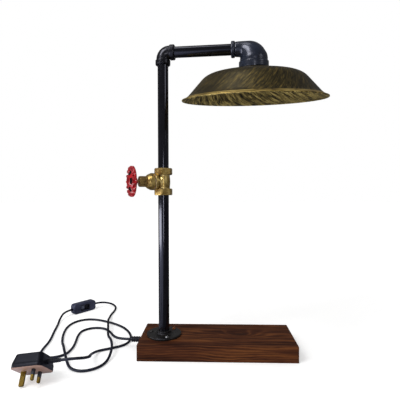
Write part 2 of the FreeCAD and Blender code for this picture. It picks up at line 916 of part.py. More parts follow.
def handwheel():
    hole_r = stem_r + s.fit_gap
    boss_r = s.wheel_boss_d / 2
    hub_r = s.wheel_hub_d / 2
    wheel_r = s.wheel_d / 2
    rim_inner = wheel_r - s.rim_width
    recess_r = s.wheel_recess_d / 2
    body = turned("handwheel", [
        (hole_r, s.wheel_start), (boss_r, s.wheel_start), (boss_r, rim_start),
        (wheel_r, rim_start), (wheel_r, s.wheel_end), (rim_inner, s.wheel_end),
        (rim_inner, web_end), (hub_r, web_end), (hub_r, hub_face), (recess_r, hub_face),
        (recess_r, recess_floor), (hole_r, recess_floor),
    ])
    rounded(body, s.rim_round,
            lambda edge: is_circle(wheel_r, rim_start)(edge) or is_circle(wheel_r, s.wheel_end)(edge))
    notch = pocket(body, s.wheel_end, s.notch_depth, circles=[(wheel_r, 0, s.notch_d / 2)])
    around(body, notch, s.notch_count)
    doc.recompute()
    ring_r = s.window_ring_d / 2
    half_width = s.window_width / 2
    half_length = s.window_length / 2
    short_half = s.window_short_length / 2
    window = pocket(body, s.wheel_end, s.rim_thickness + s.cut_margin, corners=[
        (ring_r - half_width, -short_half), (ring_r + half_width, -half_length),
        (ring_r + half_width, half_length), (ring_r - half_width, short_half),
    ])
    around(body, window, s.window_count)
    node("handwheel", body, STEM)
    nut = cut("wheel_nut_bored",
              hexagon("wheel_nut_hex", s.wheel_nut_across, recess_floor, nut_end),
              [rod("wheel_nut_hole", hole_r, recess_floor, nut_end)])
    node("wheel_nut", nut, STEM)


# ---- elbow and arm -----------------------------------------------------------------------


def black_elbow():
    collar_r = s.elbow_collar_d / 2
    body_r = s.elbow_body_d / 2
    turning_r = pipe_r + s.running_gap
    fixed_r = pipe_r + s.fit_gap
    thread_top = s.elbow_thread - s.elbow_reach + s.end_gap
    outside = fused("elbow_casting", [
        rod("elbow_low_collar", collar_r, -s.elbow_reach, s.elbow_collar - s.elbow_reach),
        rod("elbow_low_neck", body_r, -s.elbow_reach, -s.elbow_bend),
        quarter_bend("elbow_turn", s.elbow_bend, body_r),
        rod("elbow_side_neck", body_r, s.elbow_bend, s.elbow_side_reach, "X"),
        rod("elbow_side_collar", collar_r, s.elbow_side_reach - s.elbow_collar,
            s.elbow_side_reach, "X"),
    ])
    inside = [
        rod("elbow_low_thread", turning_r, -s.elbow_reach, thread_top),
        rod("elbow_low_way", pipe_bore_r, -s.elbow_reach, -s.elbow_bend),
        quarter_bend("elbow_way", s.elbow_bend, pipe_bore_r),
        rod("elbow_side_thread", fixed_r, arm_pipe_start, s.elbow_side_reach, "X"),
        rod("elbow_side_way", pipe_bore_r, s.elbow_bend, s.elbow_side_reach, "X"),
    ]
    node("black_elbow", cut("elbow_bored", outside, inside), ARM)


def arm_pipe():
    pipe = ring("arm_pipe", pipe_bore_r, pipe_r, arm_pipe_start, arm_pipe_end)
    lying = Placement(Vector(), Rotation(Vector(0, 1, 0), 90))
    node("arm_pipe", pipe, ARM.multiply(lying))


# ---- reducing elbow ----------------------------------------------------------------------


def tapered_bend(name):
    """The elbow's bend: round sections fanned about its inner corner, from neck to leg.

    The outer points of the sections lie on the circle of the elbow's back.
    """
    corner = Vector(-float(s.crotch_x), 0, -float(s.crotch_drop))
    back_centre = Vector(float(s.head_leg_d) / 2 - float(s.back_radius), 0,
                         float(s.back_rise) - float(s.back_radius))
    neck_r = float(s.head_neck_d) / 2
    leg_r = float(s.head_leg_d) / 2
    near_start = float(s.crotch_drop) - neck_r
    near_end = float(s.crotch_x) - leg_r
    sections = []
    steps = 8
    for step in range(steps + 1):
        share = step / steps
        angle = math.radians(90 * share)
        outward = Vector(math.sin(angle), 0, math.cos(angle))
        to_centre = back_centre - corner
        middle = to_centre.dot(outward)
        square = float(s.back_radius) ** 2 - to_centre.Length ** 2 + middle ** 2
        far = middle + math.sqrt(square)
        near = near_start + (near_end - near_start) * share
        if step == 0:
            far = float(s.crotch_drop) + neck_r
        if step == steps:
            far = float(s.crotch_x) + leg_r
        centre = corner + outward * ((near + far) / 2)
        across = Vector(math.cos(angle), 0, -math.sin(angle))
        circle = Part.Circle(centre, across, (far - near) / 2)
        circle.XAxis = outward
        quarters = [quarter * math.pi / 2 for quarter in range(4)]
        arcs = [Part.ArcOfCircle(circle, start, start + math.pi / 2) for start in quarters]
        sections.append(Part.Wire([arc.toShape() for arc in arcs]))
    thing = doc.addObject("Part::Feature", name)
    thing.Shape = Part.makeLoft(sections, True, False)
    return thing


def reducing_elbow():
    neck_r = s.head_neck_d / 2
    leg_r = s.head_leg_d / 2
    outside = fused("head_casting", [
        rod("head_small_collar", s.small_collar_d / 2, -s.head_reach,
            s.small_collar - s.head_reach, "X"),
        rod("head_neck", neck_r, -s.head_reach, -s.crotch_x, "X"),
        tapered_bend("head_bend_solid"),
        rod("head_leg", leg_r, -s.head_drop, -s.crotch_drop),
        rod("head_big_collar", s.big_collar_d / 2, -s.head_drop, s.big_collar - s.head_drop),
    ])
    thread_end = s.elbow_thread - s.head_reach + s.end_gap
    inside = [
        rod("head_arm_thread", pipe_r + s.running_gap, -s.head_reach, thread_end, "X"),
        rod("head_side_way", pipe_bore_r, -s.head_reach, s.passage_top, "X"),
        rod("head_passage", s.passage_d / 2, -s.head_drop, -s.passage_top),
        rod("head_mouth", s.mouth_d / 2, -s.head_drop, mouth_top),
    ]
    node("reducing_elbow", cut("head_bored", outside, inside), HEAD)


# ---- lamp holder and shade ---------------------------------------------------------------


def lamp_holder():
    nipple_r = s.nipple_d / 2
    nipple_hole = nipple_r + s.fit_gap
    bush = ring("holder_bush", nipple_hole, s.mouth_d / 2 - s.fit_gap, bush_bottom, mouth_top)
    node("holder_bush", bush, HEAD)
    nipple = ring("nipple", s.nipple_bore / 2, nipple_r, bush_bottom - s.nipple_drop,
                  mouth_top + s.nipple_rise)
    node("nipple", nipple, HEAD)
    nut_top = mouth_top + s.nipple_nut_height
    nut = cut("nipple_nut_bored",
              hexagon("nipple_nut_hex", s.nipple_nut_across, mouth_top, nut_top),
              [rod("nipple_nut_hole", nipple_hole, mouth_top, nut_top)])
    node("nipple_nut", nut, HEAD)

    cap_r = s.skirt_d / 2
    cap_inner = cap_r - s.cap_wall
    cap = turned("holder_cap", [
        (nipple_hole, bush_bottom), (cap_r - s.cap_bevel, bush_bottom),
        (cap_r, bush_bottom - s.cap_bevel),
        (cap_r, shade_top), (cap_inner, shade_top), (cap_inner, bush_bottom - s.cap_top),
        (nipple_hole, bush_bottom - s.cap_top),
    ])
    node("holder_cap", cap, HEAD)
    skirt = ring("holder_skirt", skirt_bore_r, s.skirt_d / 2, skirt_bottom, shade_top)
    node("holder_skirt", skirt, HEAD)

    ring_top = shade_top - s.shade_sheet
    ring_bottom = ring_top - s.shade_ring_height
    clamp = ring("shade_ring", s.skirt_d / 2 + s.fit_gap, s.shade_ring_d / 2, ring_bottom, ring_top)
    rounded(clamp, s.shade_ring_height / 4, is_circle(s.shade_ring_d / 2, ring_bottom))
    node("shade_ring", clamp, HEAD)

    hole_r = s.insulator_hole_d / 2
    room_r = s.contact_room_d / 2
    insulator_r = skirt_bore_r - s.fit_gap
    insulator = turned("socket_insulator", [
        (hole_r, insulator_face), (insulator_r, insulator_face), (insulator_r, insulator_foot),
        (room_r, insulator_foot), (room_r, contact_seat), (hole_r, contact_seat),
    ])
    node("socket_insulator", insulator, HEAD)
    shell_r = s.shell_bore / 2
    shell = ring("screw_shell", shell_r, shell_r + s.shell_wall, insulator_foot - s.shell_length,
                 insulator_foot)
    node("screw_shell", shell, HEAD)
    contact_tip = contact_seat - s.contact_height
    contact = turned("centre_contact", [
        (0, contact_tip), (s.contact_tip_d / 2, contact_tip), (s.contact_d / 2, contact_seat),
        (0, contact_seat),
    ])
    node("centre_contact", contact, HEAD)
    for i, side in enumerate((-1, 1), start=1):
        screw = rod("terminal_screw_%d_rod" % i, s.terminal_d / 2, insulator_face,
                    insulator_face + s.terminal_height)
        place = Placement(Vector(0, side * float(s.terminal_spacing) / 2, 0), Rotation())
        node("terminal_screw_%d" % i, screw_with_slot(i, screw), HEAD.multiply(place))


def screw_with_slot(i, screw):
    slot_half = s.terminal_slot / 2
    reach = s.terminal_d
    slot = box("terminal_slot_%d" % i, -reach, reach, -slot_half, slot_half,
               insulator_face + s.terminal_height / 2, insulator_face + s.terminal_height)
    return cut("terminal_slotted_%d" % i, screw, [slot])


def shade():
    """A thin spun sheet: flat seat, shallow dome, shoulder, cone, flared lip and rolled bead."""
    outline = [
        (s.shade_hole_d / 2, s.shade_height), (s.shade_flat_r, s.shade_height),
        (s.dome_r, s.dome_h), (s.shoulder_r, s.shoulder_h), (s.cone_foot_r, s.cone_foot_h),
        (s.lip_r, s.bead_r),
    ]
    rim = float(rim_plane)
    outer, radii = smooth_path([(float(r), 0, rim + float(h)) for r, h in outline])
    sheet_face = outer.makeOffset2D(-float(s.shade_sheet), 0, True, True, False)
    if sheet_face.BoundBox.ZMax > rim + float(s.shade_height) + 0.01:
        sheet_face = outer.makeOffset2D(float(s.shade_sheet), 0, True, True, False)
    spun = sheet_face.revolve(Vector(0, 0, 0), Vector(0, 0, 1), 360)
    bead_ring = Part.makeTorus(float(s.lip_r) - float(s.bead_r) / 3, float(s.bead_r),
                               Vector(0, 0, rim + float(s.bead_r)))
    whole = spun.fuse(bead_ring)
    thing = doc.addObject("Part::Feature", "shade")
    thing.Shape = whole.Solids[0] if len(whole.Solids) == 1 else whole
    node("shade", thing, HEAD)


# ---- lead: gland, inner flex and free cord -----------------------------------------------


def cord_gland():
    """Ribbed gland, turned about the lead; its axis points out of the board's end."""
    hole_r = cord_r + s.fit_gap
    tail_r = s.lead_hole_d / 2 - s.fit_gap
    outer_r = s.gland_d / 2
    waist_r = s.gland_waist_d / 2
    corners = [(hole_r, -s.gland_tail), (tail_r, -s.gland_tail), (tail_r, 0), (outer_r, 0)]
    for i in range(int(round(float(s.gland_ribs)))):
        rib_end = s.gland_rib * (2 * i + 1)
        corners.append((outer_r, rib_end))
        corners.append((waist_r, rib_end))
        corners.append((waist_r, rib_end + s.gland_rib))
        corners.append((outer_r, rib_end + s.gland_rib))
    corners.append((outer_r, s.gland_length))
    corners.append((hole_r, s.gland_length))
    body = turned("cord_gland", corners)
    outwards = Placement(
        Vector(-float(board_end), float(s.pole_y), float(s.lead_height)),
        Rotation(Vector(0, 1, 0), -90),
    )
    node("cord_gland", body, outwards)


def inner_flexes():
    """The flex inside the board and pole, inside the arm and inside the head."""
    bend_start = pole_x - s.flex_bend
    corner_top = s.lead_height + s.flex_bend
    pole_flex_top = s.arm_z - s.elbow_bend - s.flex_split
    turn = quarter_turn_up("flex_board_turn", s.flex_bend, cord_r)
    bind_base(turn, (bend_start, s.pole_y, corner_top))
    pole_flex = fused("pole_flex", [
        rod("flex_board_run", cord_r, -board_end - s.gland_length, bend_start, "X",
            (s.pole_y, s.lead_height)),
        turn,
        rod("flex_pole_run", cord_r, corner_top, pole_flex_top, "Z", (pole_x, s.pole_y)),
    ])
    node("inner_flex_pole", pole_flex)

    arm_stop = s.arm_length - s.head_bend - s.flex_split - s.end_gap
    arm_flex = fused("arm_flex", [
        rod("flex_arm_rise", cord_r, s.end_gap - s.elbow_bend - s.flex_split, -s.elbow_bend),
        quarter_bend("flex_arm_turn", s.elbow_bend, cord_r),
        rod("flex_arm_run", cord_r, s.elbow_bend, arm_stop, "X"),
    ])
    node("inner_flex_arm", arm_flex, ARM)

    head_flex = fused("head_flex", [
        rod("flex_head_run", cord_r, -s.head_bend - s.flex_split, -s.head_bend, "X"),
        quarter_turn_down("flex_head_turn", s.head_bend, cord_r),
        rod("flex_head_drop", cord_r, insulator_face, -s.head_bend),
    ])
    node("inner_flex_head", head_flex, HEAD)


def quarter_turn_up(name, bend, radius):
    """A quarter ring that arrives along +X and leaves along +Z, placed by its centre."""
    thing = doc.addObject("Part::Torus", name)
    bind(thing, Radius1=bend, Radius2=radius, Angle3=90)
    thing.Placement = Placement(
        Vector(), Rotation(Vector(0, 0, -1), Vector(1, 0, 0), Vector(0, -1, 0), "XYZ")
    )
    return thing


def world_point(frame, x, y, z):
    point = frame.multVec(Vector(float(x), float(y), float(z)))
    return (point.x, point.y, point.z)


def free_cords():
    half = s.switch_length / 2
    gland_end = (-float(board_end + s.gland_length), float(s.pole_y), float(s.lead_height))
    to_switch = [
        world_point(SWITCH, half + SWITCH_LEAD_OUT["lamp"], 0, 0),
        world_point(SWITCH, half, 0, 0),
    ]
    from_switch = [
        world_point(SWITCH, -half, 0, 0),
        world_point(SWITCH, -half - SWITCH_LEAD_OUT["plug"], 0, 0),
    ]
    to_plug = [
        world_point(PLUG, relief_end_x + s.relief_lead, 0, s.relief_z),
        world_point(PLUG, relief_end_x, 0, s.relief_z),
    ]
    lamp_side = free_cord("cord_lamp_side", [gland_end] + LAMP_SIDE_ROUTE + to_switch)
    node("cord_lamp_side", lamp_side)
    plug_side = free_cord("cord_plug_side", from_switch + PLUG_SIDE_ROUTE + to_plug)
    node("cord_plug_side", plug_side)


# ---- inline switch -----------------------------------------------------------------------


def switch_half_shell(name):
    """One half of the case, as a pad with rounded corners and the hollow to be cut from it."""
    half_x = s.switch_length / 2
    half_z = s.switch_height / 2
    wall = s.switch_wall
    body = padded(name, rectangle(-half_x, half_x, -half_z, half_z), 0, switch_half)
    rounded(body, s.switch_corner, is_upright)
    rounded(body, s.switch_edge, lies_at(switch_half))
    hollow = box(name + "_hollow", wall - half_x, half_x - wall, wall - half_z, half_z - wall,
                 0, switch_floor)
    rounding = doc.addObject("Part::Fillet", name + "_hollow_round")
    rounding.Base = hollow
    doc.recompute()
    inner_corner = float(s.switch_corner - wall)
    rounding.Edges = [
        (i + 1, inner_corner, inner_corner)
        for i, edge in enumerate(hollow.Shape.Edges) if is_upright(edge)
    ]
    return body, rounding


def switch_frame(facing):
    """Stands a half case's own Z along the switch's +Y or -Y, with its X kept."""
    return SWITCH.multiply(Placement(Vector(), Rotation(Vector(1, 0, 0), -90 * facing)))


def switch_case():
    post_r = s.post_d / 2
    shank_hole = s.switch_screw_d / 2 + s.fit_gap
    posts = (-s.post_x, s.post_x)

    body, hollow = switch_half_shell("switch_front_case")
    window = box("rocker_window", -s.window_x / 2, s.window_x / 2, -s.window_z / 2,
                 s.window_z / 2, switch_floor - s.cut_margin, switch_half + s.cut_margin)
    open_case = cut("switch_front_open", body, [hollow, window])
    additions = []
    for i, side in enumerate((-1, 1)):
        inner = s.window_z / 2
        outer = inner + s.boss_height
        y0, y1 = (inner, outer) if side > 0 else (-outer, -inner)
        additions.append(box("pivot_boss_%d" % i, -s.boss_width / 2, s.boss_width / 2, y0, y1,
                             s.pivot_depth - s.boss_width / 2, switch_floor))
    for i, x in enumerate(posts):
        additions.append(rod("front_post_%d" % i, post_r, 0, switch_floor, "Z", (x, 0)))
    whole = fused("switch_front_whole", [open_case] + additions)
    pivot_reach = s.rocker_height / 2 + s.pivot_length + s.end_gap
    holes = [rod("pivot_holes", s.pivot_d / 2 + s.running_gap, -pivot_reach, pivot_reach, "Y",
                 (0, s.pivot_depth))]
    screw_reach = s.switch_screw_length - switch_floor + s.cut_margin
    for i, x in enumerate(posts):
        holes.append(rod("front_screw_hole_%d" % i, shank_hole, 0, screw_reach, "Z", (x, 0)))
    node("switch_front_shell", cut("switch_front_drilled", whole, holes), switch_frame(1))

    body, hollow = switch_half_shell("switch_back_case")
    open_case = cut("switch_back_open", body, [hollow])
    back_posts = [rod("back_post_%d" % i, post_r, 0, switch_floor, "Z", (x, 0))
                  for i, x in enumerate(posts)]
    whole = fused("switch_back_whole", [open_case] + back_posts)
    holes = []
    for i, x in enumerate(posts):
        holes.append(rod("back_screw_hole_%d" % i, shank_hole, 0, switch_half, "Z", (x, 0)))
        holes.append(rod("back_screw_sink_%d" % i, s.switch_screw_head_d / 2 + s.fit_gap,
                         switch_floor, switch_half, "Z", (x, 0)))
    node("switch_back_shell", cut("switch_back_drilled", whole, holes), switch_frame(-1))


def switch_insides():
    shank_r = s.switch_screw_d / 2
    head_r = s.switch_screw_head_d / 2
    for i, side in enumerate((-1, 1), start=1):
        tip = switch_floor - s.switch_screw_length
        head_top = switch_floor + s.switch_screw_head
        screw = turned("switch_screw_%d" % i, [
            (0, tip), (shank_r, tip), (shank_r, switch_floor), (head_r, switch_floor),
            (head_r, head_top), (0, head_top),
        ])
        place = Placement(Vector(side * float(s.post_x), 0, 0), Rotation())
        node("switch_screw_%d" % i, screw, switch_frame(-1).multiply(place))
        blade = padded("switch_contact_%d" % i,
                       rectangle(-s.blade_length / 2, s.blade_length / 2, -s.blade_width / 2,
                                 s.blade_width / 2),
                       switch_floor - s.blade_height, s.blade_height)
        place = Placement(Vector(side * float(s.blade_x), 0, 0), Rotation())
        node("switch_contact_%d" % i, blade, switch_frame(-1).multiply(place))


def switch_rocker():
    """A shallow V in section, with a pivot stub at each side; its own origin is the pivot."""
    half = s.rocker_length / 2
    back = s.rocker_back - s.pivot_depth
    face = s.rocker_face - s.pivot_depth
    half_height = s.rocker_height / 2
    body = padded("rocker_block", [
        (-half, back), (half, back), (half, face), (0, face - s.rocker_dip), (-half, face),
    ], -half_height, s.rocker_height)
    reach = half_height + s.pivot_length
    pin = rod("rocker_pivot", s.pivot_d / 2, -reach, reach)
    node("switch_rocker", fused("rocker_whole", [body, pin]), ROCKER)


# ---- plug --------------------------------------------------------------------------------


def plug_outline():
    half = s.plug_width / 2
    return rectangle(-s.plug_back, s.plug_front, -half, half)


def plug_case():
    base = padded("plug_base", plug_outline(), 0, s.plug_base_height)
    rounded(base, s.plug_corner, is_upright)
    rounded(base, s.plug_edge / 2, lies_at(0))
    gap = s.fit_gap
    earth_x = s.earth_wide / 2 + gap
    earth_y = s.earth_thick / 2 + gap
    pin_holes = [box("earth_hole", -s.earth_x - earth_x, earth_x - s.earth_x, -earth_y, earth_y,
                     0, s.plug_base_height)]
    for i, side in enumerate((-1, 1)):
        centre = s.line_spacing / 2 * side
        wide = s.line_wide / 2 + gap
        thick = s.line_thick / 2 + gap
        pin_holes.append(box("line_hole_%d" % i, -thick, thick, centre - wide, centre + wide,
                             0, s.plug_base_height))
    screw_hole = rod("base_screw_hole", s.plug_screw_d / 2 + gap, 0, s.plug_base_height, "Z",
                     (-s.plug_screw_x, 0))
    sink_top = s.plug_screw_inset + s.plug_screw_head
    screw_sink = rod("base_screw_sink", s.plug_screw_head_d / 2 + gap, 0, sink_top, "Z",
                     (-s.plug_screw_x, 0))
    node("plug_base", cut("plug_base_bored", base, pin_holes + [screw_hole, screw_sink]), PLUG)

    cover = padded("plug_cover", plug_outline(), cover_foot, s.plug_cover_height, s.plug_taper)
    rounded(cover, s.plug_corner, lambda edge: not (lies_at(cover_foot)(edge) or lies_at(cover_top)(edge)))
    rounded(cover, s.plug_edge, lies_at(cover_top))
    rooms = []
    for i, side in enumerate((-1, 1)):
        near, far = s.plug_room_inner, s.plug_room_outer
        y0, y1 = (near, far) if side > 0 else (-far, -near)
        rooms.append(box("plug_room_%d" % i, -s.plug_room_back, s.plug_room_front, y0, y1,
                         cover_foot, cover_foot + s.plug_room_height))
    screw_end = sink_top + s.plug_screw_length + s.plug_screw_rest
    rooms.append(rod("cover_screw_hole", s.plug_screw_d / 2 + gap, cover_foot, screw_end, "Z",
                     (-s.plug_screw_x, 0)))
    rooms.append(rod("relief_hole", s.relief_d / 2 + gap, s.plug_front - s.relief_seat,
                     s.plug_front + s.relief_seat, "X", (0, s.relief_z)))
    node("plug_cover", cut("plug_cover_bored", cover, rooms), PLUG)


def plug_pins():
    wide = s.earth_wide / 2
    thick = s.earth_thick / 2
    earth = padded("plug_earth_pin", rectangle(-wide, wide, -thick, thick), -s.earth_length,
                   s.earth_length + s.plug_base_height)
    place = Placement(Vector(-float(s.earth_x), 0, 0), Rotation())
    node("plug_earth_pin", earth, PLUG.multiply(place))

    wide = s.line_wide / 2
    thick = s.line_thick / 2
    neck_wide = wide - s.sleeve_wall
    neck_thick = thick - s.sleeve_wall
    gap = s.fit_gap
    for i, side in enumerate((-1, 1), start=1):
        place = PLUG.multiply(Placement(Vector(0, side * float(s.line_spacing) / 2, 0), Rotation()))
        pin = fused("line_pin_whole_%d" % i, [
            box("line_pin_tip_%d" % i, -thick, thick, -wide, wide, -s.line_length,
                -s.sleeve_length),
            box("line_pin_neck_%d" % i, -neck_thick, neck_thick, -neck_wide, neck_wide,
                -s.sleeve_length, 0),
            box("line_pin_root_%d" % i, -thick, thick, -wide, wide, 0, s.plug_base_height),
        ])
        node("plug_line_pin_%d" % i, pin, place)
        sleeve = cut(
            "pin_sleeve_cut_%d" % i,
            box("pin_sleeve_out_%d" % i, -thick, thick, -wide, wide, -s.sleeve_length, 0),
            [box("pin_sleeve_in_%d" % i, -neck_thick - gap, neck_thick + gap, -neck_wide - gap,
                 neck_wide + gap, -s.sleeve_length, 0)],
        )
        node("plug_pin_sleeve_%d" % i, sleeve, place)


def plug_small_parts():
    fuse_y = -(s.plug_room_inner + s.plug_room_outer) / 2
    fuse_x = -(s.plug_room_back - s.plug_room_front) / 2
    fuse = rod("fuse_rod", s.fuse_tube_d / 2, fuse_x - s.fuse_length / 2,
               fuse_x + s.fuse_length / 2, "X",
               (fuse_y, cover_foot + s.fuse_d / 2))
    node("plug_fuse", fused("fuse_whole", [fuse, fuse_cap(fuse_x, fuse_y, -1), fuse_cap(fuse_x, fuse_y, 1)]),
         PLUG)

    head_r = s.plug_screw_head_d / 2
    shank_r = s.plug_screw_d / 2
    head_bottom = s.plug_screw_inset
    head_top = head_bottom + s.plug_screw_head
    tip = head_top + s.plug_screw_length
    screw = turned("plug_cover_screw", [
        (0, head_bottom), (head_r, head_bottom), (head_r, head_top), (shank_r, head_top),
        (shank_r, tip), (0, tip),
    ])
    place = Placement(Vector(-float(s.plug_screw_x), 0, 0), Rotation())
    node("plug_cover_screw", screw, PLUG.multiply(place))

    root_r = s.relief_d / 2
    tip_r = s.relief_tip_d / 2
    start = -s.relief_seat
    relief = turned("plug_strain_relief", [
        (0, start), (root_r, start), (root_r, 0), (tip_r, s.relief_length), (0, s.relief_length),
    ])
    place = Placement(Vector(float(s.plug_front), 0, float(s.relief_z)),
                      Rotation(Vector(0, 1, 0), 90))
    node("plug_strain_relief", relief, PLUG.multiply(place))


def fuse_cap(fuse_x, fuse_y, side):
    """The metal end of the fuse, a little thicker than its tube."""
    outer = fuse_x + s.fuse_length / 2 * side
    inner = fuse_x + (s.fuse_length / 2 - s.fuse_cap_length) * side
    start, end = (inner, outer) if side > 0 else (outer, inner)
    return rod("fuse_cap_%d" % (side + 1), s.fuse_d / 2, start, end, "X",
               (fuse_y, cover_foot + s.fuse_d / 2))


# ---- build, check and write --------------------------------------------------------------


def check_document():
    failed = [thing.Label for thing in doc.Objects
              if "Invalid" in thing.State or "Error" in thing.State]
    if failed:
        raise RuntimeError("failed: " + ", ".join(failed))
    for label, thing in nodes.items():
        if thing.Shape.isNull() or not thing.Shape.isValid() or not thing.Shape.Solids:
            raise RuntimeError("no valid solid: " + label)


def main():
    base_board()
    floor_flange()
    flange_screws()
    pole_pipes()
    valve_body()
    valve_bonnet()
    valve_stem()
    handwheel()
    black_elbow()
    arm_pipe()
    reducing_elbow()
    lamp_holder()
    shade()
    cord_gland()
    inner_flexes()
    free_cords()
    switch_case()
    switch_insides()
    switch_rocker()
    plug_case()
    plug_pins()
    plug_small_parts()
    doc.recompute()
    check_document()
    os.makedirs("parts", exist_ok=True)
    for label, thing in nodes.items():
        thing.Shape.exportStep("parts/%s.step" % label)
        print("%-20s %10.1f mm3, %d solid(s)" % (label, thing.Shape.Volume, len(thing.Shape.Solids)))
    print(len(nodes), "nodes")


main()
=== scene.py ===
import math

import bpy
from mathutils import Matrix, Vector


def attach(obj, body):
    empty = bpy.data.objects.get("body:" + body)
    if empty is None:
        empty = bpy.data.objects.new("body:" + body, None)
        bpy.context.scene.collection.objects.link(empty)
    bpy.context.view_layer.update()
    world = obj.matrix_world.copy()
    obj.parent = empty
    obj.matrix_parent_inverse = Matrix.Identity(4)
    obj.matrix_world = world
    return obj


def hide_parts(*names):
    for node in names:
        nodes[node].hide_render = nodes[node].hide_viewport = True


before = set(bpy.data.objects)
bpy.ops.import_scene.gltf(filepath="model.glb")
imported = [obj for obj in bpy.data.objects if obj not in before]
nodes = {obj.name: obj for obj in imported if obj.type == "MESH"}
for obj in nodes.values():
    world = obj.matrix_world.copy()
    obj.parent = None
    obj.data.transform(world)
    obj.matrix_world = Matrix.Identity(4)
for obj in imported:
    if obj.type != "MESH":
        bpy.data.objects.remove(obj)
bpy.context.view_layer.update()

# An industrial table lamp of black pipe with a brass gate valve, a spun shade, a wooden base, an
# inline switch and a three-pin plug. Shapes are written in millimetres in their part's own frame,
# and an outline's corners as (r, z, edge radius) or (x, y, edge radius).

MM = 0.001


def place(x, y, z):
    """A shift in millimetres."""
    return Matrix.Translation((x * MM, y * MM, z * MM))


def turn(angle, axis):
    """A turn in degrees."""
    return Matrix.Rotation(math.radians(angle), 4, axis)


POLE = place(-106, -4, 0)
VALVE = place(-106, -4, 337) @ turn(206, "Z")
STEM = VALVE @ turn(90, "Y")
ARM = place(-106, -4, 593) @ turn(-4.4, "Z")
HEAD = ARM @ place(179, 0, 0) @ turn(9.4, "X")
GLAND = place(-151, -4, 20) @ turn(-90, "Y")
SWITCH = place(-353, 224, 13) @ turn(-128, "Z")
ROCKER = SWITCH @ place(0, 4, 0) @ turn(-7.5, "Z")
PLUG = place(-297.6, -142.4, 22.806) @ turn(-7.2, "Y") @ turn(-37.7, "X")


# ---- camera and cords ----

camera_data = bpy.data.cameras.new("camera")
camera_data.lens = 32.4
camera_data.sensor_width = 36.0
camera = bpy.data.objects.new("camera", camera_data)
bpy.context.collection.objects.link(camera)
camera.matrix_world = (Matrix.Translation((-0.00809, -0.72107, 0.31167)) @ turn(1.99, "Z")
                       @ turn(89.1, "X") @ turn(-0.16, "Z"))
bpy.context.scene.camera = camera
bpy.context.scene.view_settings.view_transform = "Standard"

CORD_D = 5.0
LAMP_ROUTE = [
    (-171.5, -4, 20), (-190, -4, 20), (-207, 7, 18.5), (-219, 29, 14), (-234, 62, 8),
    (-256, 98, 2.5), (-284.5, 102.5, 2.5), (-305.5, 84, 2.5), (-304, 54, 2.5), (-295, 18, 2.5),
    (-290, -12, 2.5), (-292.5, -41, 2.5), (-316.5, -56, 2.5), (-342.5, -45, 2.5),
    (-349, -15, 2.5), (-352, 24, 2.5), (-366, 74, 2.5), (-376, 118, 2.5), (-385, 150, 6),
    (-386.246, 181.447, 13), (-372.701, 198.784, 13),
]
PLUG_ROUTE = [
    (-333.299, 249.216, 13), (-322.217, 263.401, 13), (-297.6, 271.9, 9.5), (-273.9, 257.1, 5),
    (-268.7, 227.6, 2.5), (-270, 194, 2.5), (-264, 158, 6.5), (-257, 122, 13), (-243, 76, 13.5),
    (-234, 42, 7.5), (-218, 12, 12), (-204, -30, 12.5), (-203, -64, 2.5), (-213, -91, 2.5),
    (-237, -105, 2.5), (-262, -95, 2.5), (-276, -74, 5.5), (-289, -52, 12.5), (-306, -18, 12.5),
    (-322, 14, 2.5), (-338, 56, 2.5), (-348, 98, 2.5), (-346, 132, 2.5), (-329, 154, 2.5),
    (-301, 158, 2.5), (-268, 144, 2.5), (-236, 124, 2.5), (-210, 100, 2.5), (-191, 68, 2.5),
    (-182, 36, 2.5), (-188, 8, 2.5), (-212, -8, 2.5), (-235, -20, 2.5), (-238, -47, 9),
    (-233.5, -77, 17.5), (-223, -99, 27.5), (-225, -121, 34.5), (-239.263, -135.062, 39.745),
    (-261.090, -135.062, 36.988),
]


def cord(name, route):
    """A round lead on one smooth spline whose control points are the route's points."""
    curve = bpy.data.curves.new(name, "CURVE")
    curve.dimensions = "3D"
    curve.bevel_depth = 1.0  # the points carry the radius
    curve.bevel_resolution = 6
    curve.resolution_u = 16
    curve.use_fill_caps = True
    spline = curve.splines.new("NURBS")
    spline.points.add(len(route) - 1)
    for point, (x, y, z) in zip(spline.points, route):
        point.co = (x * MM, y * MM, z * MM, 1)
        point.radius = CORD_D / 2 * MM
    spline.order_u = 3
    spline.use_endpoint_u = True
    spline.use_smooth = True
    piece = bpy.data.objects.new(name, curve)
    bpy.context.collection.objects.link(piece)
    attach(piece, "stand")
    return piece


lamp_cord = cord("lamp_cord", LAMP_ROUTE)
plug_cord = cord("plug_cord", PLUG_ROUTE)
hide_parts("cord_lamp_side")
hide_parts("cord_plug_side")


# ---- making shapes ----

ALMOST_STRAIGHT = 1.55  # half of a corner's angle, in radians, beyond which it stays a point
MOST_OF_SIDE = 0.49  # the share of a side that one corner's arc may take
ON_AXIS = 1e-6
SHARP = 32  # degrees between faces beyond which an edge is drawn sharp


def eased(corners, closed=True, steps=5):
    """The points of an outline whose corners (a, b, radius) are drawn as arcs."""
    points = []
    count = len(corners)
    for i, (a, b, radius) in enumerate(corners):
        here = Vector((a, b))
        at_end = not closed and i in (0, count - 1)
        if radius <= 0 or at_end:
            points.append(here)
            continue
        before = Vector(corners[i - 1][:2]) - here
        after = Vector(corners[(i + 1) % count][:2]) - here
        half = before.angle(after) / 2
        if half > ALMOST_STRAIGHT:
            points.append(here)
            continue
        reach = min(radius / math.tan(half), before.length * MOST_OF_SIDE,
                    after.length * MOST_OF_SIDE)
        radius = reach * math.tan(half)
        inward = (before.normalized() + after.normalized()).normalized()
        centre = here + inward * (radius / math.sin(half))
        start = here + before.normalized() * reach - centre
        end = here + after.normalized() * reach - centre
        first = math.atan2(start.y, start.x)
        sweep = (math.atan2(end.y, end.x) - first + math.pi) % (2 * math.pi) - math.pi
        for step in range(steps + 1):
            angle = first + sweep * step / steps
            points.append(centre + radius * Vector((math.cos(angle), math.sin(angle))))
    return points


